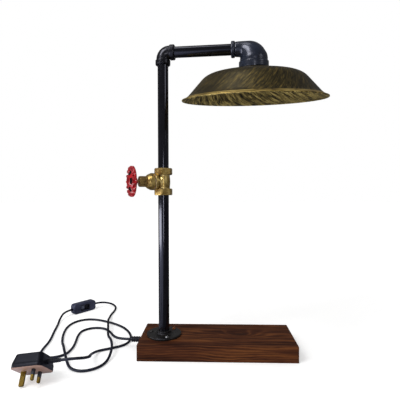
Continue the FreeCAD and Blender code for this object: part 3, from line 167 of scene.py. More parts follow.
def divided(points, longest, closed=True):
    """The same outline with no step longer than the given length."""
    result = []
    count = len(points)
    for i in range(count if closed else count - 1):
        here, after = points[i], points[(i + 1) % count]
        parts = max(1, math.ceil((after - here).length / longest))
        for part in range(parts):
            result.append(here.lerp(after, part / parts))
    if not closed:
        result.append(points[-1])
    return result


def open_outline(corners, longest, steps=5):
    """An open outline with its corners eased and no step longer than the given length."""
    return divided(eased(corners, False, steps), longest, False)


def finished(name, vertices, faces, at, body, slot, angle=SHARP):
    """A mesh object from millimetre vertices in the given frame, smooth but for its edges."""
    mesh = bpy.data.meshes.new(name)
    mesh.from_pydata([at @ (Vector(vertex) * MM) for vertex in vertices], [], faces)
    mesh.validate()
    mesh.shade_smooth()
    mesh.set_sharp_from_angle(angle=math.radians(angle))
    piece = bpy.data.objects.new(name, mesh)
    bpy.context.collection.objects.link(piece)
    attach(piece, body)
    return piece


def strip(rings, closed=True, skipped=None):
    """Vertices and faces of a skin over rings of points, but for the faces that are skipped.

    All rings have the same count of points, or one point alone on the axis.
    """
    vertices = []
    starts = []
    for points in rings:
        starts.append((len(vertices), len(points)))
        vertices.extend(points)
    faces = []
    count = len(rings)
    for i in range(count if closed else count - 1):
        k = (i + 1) % count
        (a, a_count), (b, b_count) = starts[i], starts[k]
        segments = max(a_count, b_count)
        for j in range(segments):
            if skipped and skipped(i, j):
                continue
            j2 = (j + 1) % segments
            corners = [a + j % a_count, a + j2 % a_count, b + j2 % b_count, b + j % b_count]
            unique = list(dict.fromkeys(corners))
            if len(unique) > 2:
                faces.append(unique)
    return vertices, faces


def capped(rings):
    """A skin over open rings with a flat face over each end."""
    vertices, faces = strip(rings, closed=False)
    count = len(rings[0])
    last = len(vertices) - count
    faces.append(list(range(count))[::-1])
    faces.append([last + j for j in range(count)])
    return vertices, faces


def turned_rings(outline, segments, radius=None):
    """One ring for each outline point (r, z); radius(r, z, angle) may reshape it."""
    rings = []
    for r, z in outline:
        if r < ON_AXIS:
            rings.append([(0, 0, z)])
            continue
        points = []
        for j in range(segments):
            angle = 2 * math.pi * j / segments
            here = radius(r, z, angle) if radius else r
            points.append((here * math.cos(angle), here * math.sin(angle), z))
        rings.append(points)
    return rings


def turned(name, corners, at, body, slot, segments, radius=None, closed=True, longest=None):
    """A piece turned about its frame's Z from an outline of (r, z, edge radius)."""
    outline = eased(corners, closed)
    if longest:
        outline = divided(outline, longest, closed)
    vertices, faces = strip(turned_rings(outline, segments, radius), closed)
    return finished(name, vertices, faces, at, body, slot)


def hexagon(across, soft=0.4):
    """Radius of a hexagon with a corner at angle 0, its corners softened, under a given limit."""
    def radius(limit, z, angle):
        apart = abs((angle + math.pi / 6) % (math.pi / 3) - math.pi / 6)
        flat = across / 2 / math.cos(math.pi / 6 - apart)
        return min(limit, flat, across / math.sqrt(3) - soft)
    return radius


def joined(name, parts, at, body, slot):
    """One piece from several skins given as (vertices, faces)."""
    vertices, faces = [], []
    for part_vertices, part_faces in parts:
        start = len(vertices)
        vertices.extend(part_vertices)
        faces.extend([[start + i for i in face] for face in part_faces])
    return finished(name, vertices, faces, at, body, slot)


def section(centre, up, r, segments=96):
    """A ring round a centre, in the plane of the given direction and Y."""
    side = Vector((0, 1, 0))
    return [tuple(centre + r * (math.cos(a) * up + math.sin(a) * side))
            for a in (2 * math.pi * j / segments for j in range(segments))]


def round_rectangle(x0, x1, y0, y1, radius, steps):
    """The points of a rectangle with rounded corners."""
    corners = [(x0, y0, radius), (x1, y0, radius), (x1, y1, radius), (x0, y1, radius)]
    return [tuple(point) for point in eased(corners, steps=steps)]


# ---- finishes ----


def tone(colour):
    """The shader's colour for three numbers, 0 to 255, as a screen shows them."""
    def linear(value):
        value /= 255
        return value / 12.92 if value <= 0.04045 else ((value + 0.055) / 1.055) ** 2.4
    return tuple(linear(value) for value in colour) + (1,)


def feed(tree, socket, value):
    """Links a socket to another node's output, or sets it to a constant."""
    if isinstance(value, bpy.types.NodeSocket):
        tree.links.new(value, socket)
    else:
        socket.default_value = value


class Finish:
    """A material and the few nodes that its colour, roughness and relief are made of."""

    def __init__(self, name, **values):
        self.material = bpy.data.materials.new(name)
        self.material.use_nodes = True
        self.tree = self.material.node_tree
        self.shader = self.tree.nodes["Principled BSDF"]
        self.use(**values)
        self.coordinates = self.tree.nodes.new("ShaderNodeTexCoord").outputs["Object"]

    def node(self, kind, settings=None, output=0, **inputs):
        made = self.tree.nodes.new("ShaderNode" + kind)
        for key, value in (settings or {}).items():
            setattr(made, key, value)
        for key, value in inputs.items():
            feed(self.tree, made.inputs[key.replace("_", " ")], value)
        return made.outputs[output]

    def number(self, operation, first, second=0.0, third=0.0):
        made = self.tree.nodes.new("ShaderNodeMath")
        made.operation = operation
        for socket, value in zip(made.inputs, (first, second, third)):
            feed(self.tree, socket, value)
        return made.outputs[0]

    def xyz(self, vector):
        split = self.tree.nodes.new("ShaderNodeSeparateXYZ")
        self.tree.links.new(vector, split.inputs[0])
        return split.outputs

    def mapped(self, scale):
        return self.node("Mapping", Vector=self.coordinates, Scale=scale)

    def noise(self, scale, detail, roughness, vector=None, distortion=0.0):
        return self.node("TexNoise", Vector=vector or self.coordinates, Scale=scale,
                         Detail=detail, Roughness=roughness, Distortion=distortion)

    def ramp(self, factor, stops):
        made = self.tree.nodes.new("ShaderNodeValToRGB")
        elements = made.color_ramp.elements
        while len(elements) < len(stops):
            elements.new(0.5)
        for element, (position, colour) in zip(elements, stops):
            element.position = position
            element.color = tone(colour) if isinstance(colour, tuple) else (colour,) * 3 + (1,)
        self.tree.links.new(factor, made.inputs["Fac"])
        return made.outputs["Color"]

    def mottled(self, clouds, first, second, end=0.7):
        """From one value to the other over noise given as (scale, detail, roughness)."""
        return self.ramp(self.noise(*clouds), [(0.3, first), (end, second)])

    def mix(self, factor, first, second):
        """Mixes two colours, of which each is an output, a screen colour or red to alpha."""
        made = self.tree.nodes.new("ShaderNodeMix")
        made.data_type = "RGBA"
        for i, value in ((0, factor), (6, first), (7, second)):
            screen = isinstance(value, tuple) and len(value) == 3
            feed(self.tree, made.inputs[i], tone(value) if screen else value)
        return made.outputs[2]

    def edges(self, low, high):
        """White along outer edges: the finishes lighten there as a painted highlight, on brass also
        as wear.
        """
        pointiness = self.node("NewGeometry", output="Pointiness")
        return self.ramp(pointiness, [(low, 0.0), (high, 1.0)])

    def hollows(self, low=0.40, high=0.49):
        """White in corners and grooves: the finishes darken there as painted shade, and brass as
        its patina.
        """
        pointiness = self.node("NewGeometry", output="Pointiness")
        return self.ramp(pointiness, [(low, 1.0), (high, 0.0)])

    def relief(self, height, distance, strength, under=None):
        """A bump of the given depth in millimetres, over another one if given."""
        inputs = {"Height": height, "Distance": distance * MM, "Strength": strength}
        if under:
            inputs["Normal"] = under
        return self.node("Bump", **inputs)

    def use(self, **values):
        """Sets or links the shader's sockets; gives the material."""
        for socket, value in values.items():
            feed(self.tree, self.shader.inputs[socket.replace("_", " ")], value)
        return self.material

    def done(self, colour, rough, height, distance, strength):
        """The material with this colour, roughness and relief."""
        return self.use(Base_Color=colour, Roughness=rough,
                        Normal=self.relief(height, distance, strength))


COLD_SHINE = (0.80, 0.82, 1.0, 1)


def black_pipe_finish():
    finish = Finish("black_pipe", Specular_IOR_Level=0.6, Specular_Tint=COLD_SHINE)
    blotches = finish.noise(38, 5, 0.6)
    colour = finish.ramp(blotches, [(0.32, (5, 5, 8)), (0.68, (13, 12, 17))])
    rough = finish.mottled((90, 4, 0.6), 0.08, 0.14, 0.75)
    return finish.done(colour, rough, finish.noise(240, 2, 0.5), 0.008, 0.2)


def cast_iron_finish(name, dark, light, rough, bump):
    finish = Finish(name, Specular_IOR_Level=0.42, Specular_Tint=(0.85, 0.85, 1.0, 1))
    colour = finish.mottled((55, 6, 0.62), dark, light)
    # Painted shade: darker in corners and grooves.
    colour = finish.mix(finish.hollows(), colour, (14, 13, 14))
    pits = finish.noise(420, 5, 0.65)
    return finish.done(colour, finish.mottled((160, 4, 0.6), *rough), pits, bump, 0.5)


def slate_finish():
    finish = Finish("slate_casting", Specular_IOR_Level=0.6, Coat_Weight=0.2,
                    Coat_Roughness=0.2, Specular_Tint=COLD_SHINE)
    colour = finish.mottled((42, 4, 0.5), (15, 20, 31), (28, 35, 49))
    # Painted highlight: pale lavender along edges. Painted shade: darker in corners and grooves.
    colour = finish.mix(finish.edges(0.53, 0.62), colour, (120, 124, 152))
    colour = finish.mix(finish.hollows(), colour, (10, 11, 17))
    rough = finish.mottled((140, 4, 0.6), 0.24, 0.38, 0.75)
    return finish.done(colour, rough, finish.noise(300, 3, 0.6), 0.03, 0.3)


def brass_finish(name, bright, dull, dark, metal, patina=0.5, edge_highlight=(232, 214, 160)):
    """Aged brass: brushed bright skin, duller clouds, and dark patina held by the hollows."""
    finish = Finish(name, Metallic=metal, Specular_IOR_Level=0.5)
    clouds = finish.noise(95, 6, 0.65, distortion=0.6)
    colour = finish.ramp(clouds, [(0.30, dark), (0.30 + 0.3 * patina, dull), (0.72, bright)])
    # Pale edges: painted highlight, partly wear. The dark colour in the hollows is patina.
    colour = finish.mix(finish.edges(0.52, 0.60), colour, edge_highlight)
    colour = finish.mix(finish.hollows(), colour, (34, 26, 13))
    rough = finish.mottled((210, 4, 0.6), 0.24, 0.46, 0.75)
    brushed = finish.noise(300, 3, 0.6, finish.mapped((1, 1, 6)))
    return finish.done(colour, rough, brushed, 0.05, 0.45)


def red_paint_finish():
    finish = Finish("red_enamel", Specular_IOR_Level=0.45, Coat_Weight=0.2, Coat_Roughness=0.15)
    colour = finish.mottled((60, 4, 0.5), (132, 4, 14), (170, 10, 26))
    # Painted shade: darker in hollows. Painted highlight: pink along edges.
    colour = finish.mix(finish.hollows(0.38, 0.49), colour, (48, 2, 6))
    colour = finish.mix(finish.edges(0.56, 0.70), colour, (206, 60, 72))
    rough = finish.mottled((150, 3, 0.5), 0.26, 0.40, 0.8)
    orange_peel = finish.noise(330, 2, 0.5)
    return finish.done(colour, rough, orange_peel, 0.03, 0.3)


KNOT = ((0.044, 26.0), (0.002, 60.0))  # in x and y: its place in metres, its narrowness
RING_SLOPE = 0.42  # how fast the tree's rings fall across the board
RING_RATE = 1250.0  # radians of ring for each metre of depth


def walnut_finish():
    """Oiled walnut: grain lines that waver along the board and run round a knot in its top."""
    finish = Finish("walnut", Specular_IOR_Level=0.10)
    number = finish.number
    x, y, z = finish.xyz(finish.coordinates)
    waver = finish.noise(5.0, 3, 0.55, finish.mapped((1.0, 3.0, 3.0)))
    from_knot = [number("POWER", number("MULTIPLY", number("SUBTRACT", value, middle), narrow),
                        2.0) for value, (middle, narrow) in zip((x, y), KNOT)]
    knot = number("EXPONENT", number("MULTIPLY", number("ADD", *from_knot), -1.0))
    ripple = finish.noise(26.0, 3, 0.6, finish.mapped((0.5, 3.0, 3.0)))
    depth = number("MULTIPLY_ADD", y, RING_SLOPE, z)
    for shift, metres in ((waver, 0.024), (knot, 0.013), (ripple, 0.0035)):
        depth = number("MULTIPLY_ADD", shift, metres, depth)
    ring = number("SINE", number("MULTIPLY", depth, RING_RATE))
    lines = number("MULTIPLY_ADD", ring, 0.5, 0.5)
    presence = finish.ramp(finish.noise(14.0, 3, 0.6, finish.mapped((0.6, 4.0, 5.0))),
                           [(0.38, 0.15), (0.62, 1.0)])
    fibres = finish.noise(60.0, 5, 0.65, finish.mapped((0.35, 9.0, 9.0)))
    clouds = finish.noise(10.0, 5, 0.65, finish.mapped((0.6, 4.0, 7.0)))
    colour = finish.ramp(clouds, [(0.34, (47, 21, 12)), (0.50, (74, 38, 21)),
                                  (0.64, (106, 61, 30))])
    late = number("MULTIPLY", finish.ramp(lines, [(0.25, 0.0), (0.90, 0.75)]),
                  number("MULTIPLY", finish.ramp(fibres, [(0.30, 0.3), (0.60, 1.0)]), presence))
    colour = finish.mix(late, colour, (38, 17, 10))
    early = number("MULTIPLY", finish.ramp(lines, [(0.05, 0.45), (0.22, 0.0)]), presence)
    colour = finish.mix(early, colour, (122, 74, 38))
    colour = finish.mix(finish.ramp(fibres, [(0.58, 0.0), (0.72, 0.6)]), colour, (38, 20, 13))
    colour = finish.mix(finish.ramp(knot, [(0.72, 0.0), (0.97, 0.75)]), colour, (44, 23, 15))
    rough = finish.ramp(fibres, [(0.35, 0.52), (0.7, 0.66)])
    return finish.use(Base_Color=colour, Roughness=rough,
                      Normal=finish.relief(fibres, 0.10, 0.35, finish.relief(lines, 0.06, 0.3)))


def stroked(finish, slant, across, along):
    """Coordinates for strokes that wind round the shade's axis, the given number to a turn.

    Slant is in radians of turn for each metre outwards, and along is strokes for each metre.
    """
    number = finish.number
    back = HEAD.inverted()
    local = finish.node("Mapping", Vector=finish.coordinates, Location=tuple(back.translation),
                        Rotation=tuple(back.to_euler()))
    x, y, _ = finish.xyz(local)
    radius = number("SQRT", number("ADD", number("MULTIPLY", x, x), number("MULTIPLY", y, y)))
    angle = number("MULTIPLY_ADD", radius, slant, number("ARCTAN2", y, x))
    turns = across / (2 * math.pi)
    return finish.node("CombineXYZ", X=number("MULTIPLY", number("COSINE", angle), turns),
                       Y=number("MULTIPLY", number("SINE", angle), turns),
                       Z=number("MULTIPLY", radius, along))


def shade_outside_finish():
    """Dark bronze lacquer rubbed with slanting strokes of gold."""
    finish = Finish("bronze_rubbed", Metallic=0.72, Specular_IOR_Level=0.5)
    strokes = finish.noise(1.0, 5, 0.75, stroked(finish, 8.0, 190, 75), 0.5)
    fine = finish.noise(1.0, 4, 0.7, stroked(finish, 8.0, 420, 110), 0.3)
    patches = finish.noise(11, 3, 0.5)
    colour = finish.ramp(strokes, [(0.36, (50, 44, 27)), (0.50, (82, 72, 42)),
                                   (0.66, (138, 117, 62))])
    colour = finish.mix(finish.ramp(fine, [(0.38, 0.75), (0.56, 0.0)]), colour, (24, 20, 12))
    colour = finish.mix(finish.ramp(patches, [(0.42, 0.65), (0.58, 0.0)]), colour, (46, 40, 25))
    rough = finish.ramp(fine, [(0.3, 0.52), (0.7, 0.34)])
    return finish.done(colour, rough, fine, 0.1, 0.3)


def shade_inside_finish():
    """Gold lacquer with darker strokes."""
    finish = Finish("gold_rubbed", Metallic=0.40, Specular_IOR_Level=0.5)
    strokes = finish.noise(1.0, 5, 0.78, stroked(finish, 12.0, 130, 60), 0.5)
    fine = finish.noise(1.0, 4, 0.75, stroked(finish, 10.0, 300, 90), 0.3)
    colour = finish.ramp(strokes, [(0.42, (36, 31, 16)), (0.49, (140, 122, 66)),
                                   (0.62, (218, 194, 118))])
    colour = finish.mix(finish.ramp(fine, [(0.42, 0.9), (0.52, 0.0)]), colour, (24, 20, 9))
    rough = finish.ramp(strokes, [(0.3, 0.55), (0.7, 0.36)])
    return finish.done(colour, rough, strokes, 0.1, 0.25)


def lip_highlight_finish():
    """Brighter gold round the lip: a painted highlight."""
    finish = Finish("lip_highlight", Metallic=0.7, Specular_IOR_Level=0.5)
    edge_highlight = finish.noise(30, 5, 0.7, finish.mapped((1, 1, 3)))
    colour = finish.ramp(edge_highlight, [(0.34, (74, 62, 32)), (0.48, (162, 136, 70)),
                                (0.66, (206, 180, 108))])
    rough = finish.ramp(edge_highlight, [(0.3, 0.48), (0.7, 0.30)])
    return finish.done(colour, rough, edge_highlight, 0.08, 0.3)


def rubber_finish(name, dark, light, rough=(0.34, 0.5), bump=0.03, specular=0.45):
    """Rubber or moulded plastic, with a fine grain."""
    finish = Finish(name, Specular_IOR_Level=specular, Specular_Tint=(0.78, 0.82, 1.0, 1))
    colour = finish.mottled((48, 4, 0.55), dark, light)
    grain = finish.noise(1300, 3, 0.6)
    return finish.done(colour, finish.mottled((180, 4, 0.6), *rough), grain, bump, 0.5)


def steel_finish(name, dark, light, metal=0.9):
    finish = Finish(name, Metallic=metal)
    colour = finish.mottled((240, 5, 0.6), dark, light)
    # Painted shade: darker in the hollows, such as a screw's cross recess.
    colour = finish.mix(finish.hollows(0.36, 0.47), colour, (30, 28, 26))
    turning = finish.noise(900, 2, 0.5)
    return finish.done(colour, finish.mottled((420, 4, 0.6), 0.22, 0.42), turning, 0.03, 0.4)


black_pipe = black_pipe_finish()
black_casting = cast_iron_finish("black_casting", (7, 7, 10), (18, 18, 22), (0.2, 0.34), 0.05)
flange_iron = cast_iron_finish("flange_iron", (7, 7, 8), (30, 28, 25), (0.20, 0.38), 0.10)
# Painted shade: a dark finish for the walls of the handwheel's windows.
painted_window_shade = cast_iron_finish("painted_window_shade", (22, 5, 6), (48, 12, 13), (0.5, 0.7), 0.1)
slate_casting = slate_finish()
valve_brass = brass_finish("valve_brass", (224, 200, 132), (176, 144, 78), (64, 47, 20), 0.85, 0.42)
nut_brass = brass_finish("nut_brass", (196, 168, 104), (134, 106, 56), (58, 43, 22), 0.6)
holder_brass = brass_finish("holder_brass", (176, 146, 78), (128, 102, 50), (70, 55, 28), 0.9, 0.3)
pin_brass = brass_finish("pin_brass", (122, 98, 34), (98, 76, 24), (66, 50, 16), 0.75, 0.3,
                         (128, 104, 40))
red_enamel = red_paint_finish()
walnut = walnut_finish()
bronze_rubbed = shade_outside_finish()
gold_rubbed = shade_inside_finish()
lip_highlight = lip_highlight_finish()
cord_jacket = rubber_finish("cord_jacket", (10, 12, 22), (20, 23, 38))
gland_rubber = rubber_finish("gland_rubber", (12, 12, 14), (22, 22, 26), (0.4, 0.6))
switch_shell = rubber_finish("switch_shell", (44, 47, 66), (62, 66, 88), (0.36, 0.5), 0.05)
# Painted highlight: a pale copy of the rocker's black plastic.
rocker_plastic = rubber_finish("rocker_plastic", (92, 97, 116), (112, 117, 138), (0.26, 0.4))
rocker_black = rubber_finish("rocker_black", (16, 16, 22), (28, 28, 36), (0.26, 0.4))
plug_shell = rubber_finish("plug_shell", (5, 6, 11), (14, 15, 24), specular=0.25)
plug_face = rubber_finish("plug_face", (150, 118, 104), (172, 140, 124), (0.3, 0.45), 0.03, 0.4)
sleeve_plastic = rubber_finish("sleeve_plastic", (14, 14, 17), (26, 26, 30))
grey_gasket = rubber_finish("grey_gasket", (96, 92, 108), (130, 126, 142), (0.5, 0.7), 0.1, 0.3)
insulator_ceramic = rubber_finish("insulator_ceramic", (212, 208, 196), (230, 227, 216),
                                  (0.25, 0.4), 0.02)
silver_steel = steel_finish("silver_steel", (120, 120, 124), (168, 168, 172))
copper_steel = steel_finish("copper_steel", (168, 96, 58), (206, 134, 88))
dark_steel = steel_finish("dark_steel", (52, 50, 50), (86, 84, 84), 0.8)


def coat(finish, *pieces):
    """Gives a finish to new pieces and, by name, to the CAD nodes that are shown."""
    for piece in pieces:
        target = nodes[piece] if isinstance(piece, str) else piece
        if target.material_slots:
            for slot in target.material_slots:
                slot.material = finish
        else:
            target.data.materials.append(finish)


def coat_by_face(piece, finishes, indices):
    """Gives a piece several finishes, and each face the one that its index names."""
    for finish in finishes:
        piece.data.materials.append(finish)
    piece.data.polygons.foreach_set("material_index", indices)


coat(cord_jacket, lamp_cord, plug_cord, "inner_flex_pole", "inner_flex_arm", "inner_flex_head")
coat(walnut, "base_board")
coat(black_pipe, "lower_pipe", "upper_pipe", "arm_pipe")
coat(nut_brass, "valve_stem")
coat(grey_gasket, "stem_packing")
coat(dark_steel, "wheel_nut", "nipple", "nipple_nut", "switch_screw_1", "switch_screw_2",
     "terminal_screw_1", "terminal_screw_2", "plug_cover_screw")
coat(holder_brass, "holder_bush", "holder_cap", "holder_skirt", "shade_ring", "centre_contact",
     "switch_contact_1", "switch_contact_2")
coat(insulator_ceramic, "socket_insulator", "plug_fuse")
coat(switch_shell, "switch_front_shell", "switch_back_shell")
coat(plug_shell, "plug_cover")
coat(sleeve_plastic, "plug_pin_sleeve_1", "plug_pin_sleeve_2")


# ---- base: flange, screws and gland ----

flange = turned("flange_casting", [
    (7.6, 30.05, 0), (34.4, 30.05, 0.4), (34.5, 34.5, 1.4), (19.5, 34.7, 1.5), (15.6, 35.9, 0.8),
    (15.5, 37.2, 0.3), (14.2, 37.5, 0.2), (14.2, 38.0, 0.2), (15, 38.3, 0.3), (14.9, 40.5, 1.0),
    (10.75, 40.5, 0.5), (10.75, 33, 0), (7.6, 32, 0),
], POLE, "stand", "slate_iron", 120, longest=3)
coat(flange_iron, flange)
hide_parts("floor_flange")


DOME_Z = 36  # the recess is cut only above this
CROSS_HALF_WIDTH = 0.42
CROSS_REACH = 2.1
CROSS_DEPTH = 0.8
CROSS_POINT = 2.6  # where the recess would run out, from the head's axis
SCREW_CIRCLE_R = 27
SCREWS = ((49, copper_steel), (169, dark_steel), (289, silver_steel))  # bearing and finish


def screw_skin():
    """A domed head with a cross recess."""
    outline = open_outline([(0, 36.95, 0), (1.4, 36.85, 0.5), (2.7, 36.4, 0.8), (3.8, 35.3, 0.5),
                            (3.8, 34.55, 0.2), (0, 34.55, 0)], 0.35, 4)
    rings = turned_rings(outline, 64)
    pressed = []
    for ring in rings:
        points = []
        for x, y, z in ring:
            across, reach = sorted((abs(x), abs(y)))
            if z > DOME_Z and across < CROSS_HALF_WIDTH and reach < CROSS_REACH:
                z -= CROSS_DEPTH * (1 - reach / CROSS_POINT)
            points.append((x, y, z))
        pressed.append(points)
    return strip(pressed, closed=False)


for i, (bearing, finish) in enumerate(SCREWS, start=1):
    driven = turn(23 * i, "Z")
    at = POLE @ turn(bearing, "Z") @ place(SCREW_CIRCLE_R, 0, 0) @ driven
    screw = finished("flange_screw_head_%d" % i, *screw_skin(), at, "stand", "zinc_steel")
    coat(finish, screw)
    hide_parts("flange_screw_%d" % i)

RIB = 2.3  # the width of a rib and of the groove after it
RIB_R = 5.65
GROOVE_R = 4.65
gland_corners = [(2.6, -5, 0), (4.9, -5, 0), (4.9, 0, 0), (RIB_R, 0, 0.3)]
for i in range(4):
    rib_end = RIB * (2 * i + 1)
    gland_corners += [(RIB_R, rib_end, 0.5), (GROOVE_R, rib_end + 0.25, 0.35),
                      (GROOVE_R, rib_end + 2.05, 0.35), (RIB_R, rib_end + RIB, 0.5)]
gland_corners += [(5.6, 20.5, 0.9), (2.6, 20.5, 0.3)]
gland = turned("ribbed_gland", gland_corners, GLAND, "stand", "black_rubber", 64)
coat(gland_rubber, gland)
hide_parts("cord_gland")


# ---- valve ----


VALVE_ACROSS = 33.0  # the hexagons are measured across their flats
BONNET_ACROSS = 30.0
NUT_ACROSS = 19.0
PORT_R = 10.8  # the hole through the valve


def valve_skin():
    """The body's two hexagons and the barrel between them, round the port."""
    corner_r = VALVE_ACROSS / math.sqrt(3)
    low = [(PORT_R, 26.8, 0.3), (16.4, 26.8, 0.6), (corner_r + 0.2, 24.9, 0.4),
           (corner_r + 0.2, 15.6, 0.4), (16.6, 13.7, 0.8), (12.8, 13.2, 1.6)]
    top = open_outline(low, 0.6, 4)
    bottom = [Vector((r, -z)) for r, z in reversed(top)]
    barrel = [Vector((12.6 + 1.0 * math.cos(math.pi * z / 24), z)) for z in range(11, -12, -1)]
    bore = [Vector((PORT_R, -20)), Vector((PORT_R, 20))]
    return strip(turned_rings(top + barrel + bottom + bore, 120, hexagon(VALVE_ACROSS, 0.5)))


def neck_skin():
    """The neck that carries the bonnet, along the stem's axis."""
    outline = open_outline([(0, 6, 0), (15.6, 6, 0.5), (13.0, 9.5, 2.5), (13.0, 13.6, 0.9),
                            (17.5, 14.1, 0.9), (17.5, 19.35, 1.0), (12, 19.4, 0.3),
                            (0, 19.4, 0)], 1.5)
    vertices, faces = strip(turned_rings(outline, 96), closed=False)
    lean = turn(90, "Y")
    return [tuple(lean @ Vector(vertex)) for vertex in vertices], faces


valve = joined("valve_casting", [valve_skin(), neck_skin()], VALVE, "stand", "valve_brass")
coat(valve_brass, valve)
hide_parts("valve_body")

bonnet = turned("bonnet_hexagon", [
    (4.2, 20, 0), (14.6, 20, 0.5), (17.6, 21.2, 0.4), (17.6, 24.5, 0), (16.0, 28.2, 0),
    (13.6, 33.2, 0), (11.9, 35, 0.6), (7.2, 35, 0.4), (7.0, 40.9, 0.4), (4.2, 41, 0),
], STEM, "stand", "valve_brass", 120, hexagon(BONNET_ACROSS), longest=0.9)
coat(valve_brass, bonnet)
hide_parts("valve_bonnet")

gland_nut = turned("packing_hexagon", [
    (7.05, 35.05, 0), (9.4, 35.05, 0.3), (11.2, 36.2, 0.4), (11.2, 46.5, 0.2), (10.1, 50, 0.8),
    (3.4, 50, 0.5), (3.0, 49, 0), (3.0, 42, 0), (7.05, 42, 0),
], STEM, "stand", "valve_brass", 120, hexagon(NUT_ACROSS, 0.3), longest=0.8)
coat(nut_brass, gland_nut)
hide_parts("packing_nut")

gasket = turned("gasket_ring", [
    (9, 19.35, 0.1), (15.1, 19.35, 0.25), (15.1, 20.05, 0.25), (9, 20.05, 0.1),
], STEM, "stand", "packing", 96)
coat(grey_gasket, gasket)
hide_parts("bonnet_gasket")


# ---- handwheel ----

WHEEL_STEPS = 240
WINDOWS = 5
WINDOW_HALF = 22.5  # degrees
WINDOW_PHASE = 18
NOTCHES = 15
NOTCH_R = 29  # the radius at which a scallop's half width is measured
NOTCH_HALF = 3.9
NOTCH_DEPTH = 5.2
NOTCHED_FROM_R = 21.5
NOTCHED_FROM_Z = 62
NOTCH_FADE = 6  # the height over which the dip comes in


def dipped(r, z, angle):
    """The height of the wheel's skin where the finger scallops dip into the rim's front."""
    if r < NOTCHED_FROM_R or z < NOTCHED_FROM_Z:
        return z
    pitch = 2 * math.pi / NOTCHES
    apart = (angle + pitch / 2) % pitch - pitch / 2
    share = NOTCH_R * apart / NOTCH_HALF
    if abs(share) >= 1:
        return z
    faded = min(1.0, (z - NOTCHED_FROM_Z) / NOTCH_FADE)
    return z - NOTCH_DEPTH * math.sqrt(1 - share * share) * faded


def in_window(segment):
    """Whether this step of the wheel's round lies in one of its windows."""
    pitch = 360 / WINDOWS
    angle = (segment + 0.5) * 360 / WHEEL_STEPS
    apart = abs((angle + pitch / 2) % pitch - pitch / 2)
    return apart < WINDOW_HALF


def wheel_skin():
    """The wheel's turned skin with windows cut through its web, and walls let into them.

    Gives vertices, faces, and how many of the faces are painted: the walls come after them.
    """
    front = [
        (2.8, 63.1, 0), (7.6, 63.1, 0.3), (8.0, 71.8, 0.5), (10.4, 72.0, 0.8), (12.4, 71.0, 0.8),
        (13.0, 70.7, 0),
    ]
    rim = [
        (20.4, 66.9, 0), (21.3, 66.4, 0.5), (22.6, 68.8, 0.8), (24.2, 69.4, 0.8),
        (27.8, 69.2, 1.4), (29.9, 66.8, 1.6), (30, 61.8, 1.0), (28.8, 60.8, 0.8),
        (22.8, 60.9, 0.6), (21.6, 62.6, 0.6), (20.4, 63.0, 0),
    ]
    back = [(13.0, 66.8, 0), (11.0, 67.4, 0.8), (7.2, 62.0, 0.8), (7, 54, 0.8), (2.8, 54, 0)]
    outline = eased(front, closed=False, steps=4)
    hub_front = len(outline) - 1
    rim_front = hub_front + 1
    outline += eased(rim, closed=False, steps=4)
    rim_back = len(outline) - 1
    hub_back = rim_back + 1
    outline += eased(back, closed=False, steps=4)

    def open_here(i, j):
        return i in (hub_front, rim_back) and in_window(j)

    rings = []
    for r, z in outline:
        ring = []
        for j in range(WHEEL_STEPS):
            angle = 2 * math.pi * j / WHEEL_STEPS
            ring.append((r * math.cos(angle), r * math.sin(angle), dipped(r, z, angle)))
        rings.append(ring)
    vertices, faces = strip(rings, True, open_here)
    painted = len(faces)

    def wall(*corners):
        faces.append([ring * WHEEL_STEPS + segment % WHEEL_STEPS for ring, segment in corners])

    for j in range(WHEEL_STEPS):
        if not in_window(j):
            continue
        k = j + 1
        wall((hub_front, j), (hub_front, k), (hub_back, k), (hub_back, j))
        wall((rim_front, k), (rim_front, j), (rim_back, j), (rim_back, k))
        if not in_window((j - 1) % WHEEL_STEPS):
            wall((hub_front, j), (hub_back, j), (rim_back, j), (rim_front, j))
        if not in_window(k % WHEEL_STEPS):
            wall((hub_back, k), (hub_front, k), (rim_front, k), (rim_back, k))
    return vertices, faces, painted


vertices, faces, painted = wheel_skin()
wheel = finished("wheel_casting", vertices, faces, STEM @ turn(WINDOW_PHASE, "Z"), "valve_wheel",
                 "red_paint")
# The window walls get the painted shade, the rest the red enamel.
coat_by_face(wheel, (red_enamel, painted_window_shade),
             [int(i >= painted) for i in range(len(wheel.data.polygons))])
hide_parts("handwheel")


# ---- pipe elbows ----

BEND = 14.0  # the radius of the black elbow's quarter bend
BEND_LENGTH = BEND * math.pi / 2
DROP = 25  # from the arm's axis down to the elbow's lower end
RISE = DROP - BEND
END = RISE + BEND_LENGTH + 10


def black_elbow_path(distance):
    """Up from the lower end, round the bend, then out along +X; gives centre and up."""
    if distance < RISE:
        return Vector((0, 0, distance - DROP)), Vector((-1, 0, 0))
    if distance < RISE + BEND_LENGTH:
        angle = (distance - RISE) / BEND
        out = Vector((-math.cos(angle), 0, math.sin(angle)))
        return Vector((BEND, 0, -BEND)) + BEND * out, out
    return Vector((BEND + distance - RISE - BEND_LENGTH, 0, 0)), Vector((0, 0, 1))


elbow_outline = divided(eased([
    (0, 10.8, 0.4), (0, 14.75, 2.4), (9.4, 14.85, 2.6), (10.2, 12.9, 0.7), (15, 13.1, 0),
    (END - 15, 13.1, 0), (END - 10.0, 12.9, 0.7), (END - 9.2, 14.85, 2.6), (END, 14.75, 2.4),
    (END, 10.8, 0.4),
], steps=6), 1.6)
elbow_rings = [section(*black_elbow_path(distance), r, 72) for distance, r in elbow_outline]
elbow = finished("pipe_elbow", *strip(elbow_rings), ARM, "arm", "black_iron")
coat(black_casting, elbow)
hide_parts("black_elbow")


NECK_R = 14.4
NECK_END = 28  # from the leg's axis back to where the bend starts
LEG_R = 26.8
LEG_TOP = 18  # from the neck's axis down to where the bend ends
BULGE_R = 36.2  # the radius of the bend's back
BULGE_CENTRE = Vector((-10.2, 0, -21.8))
FAN_STEPS = 24


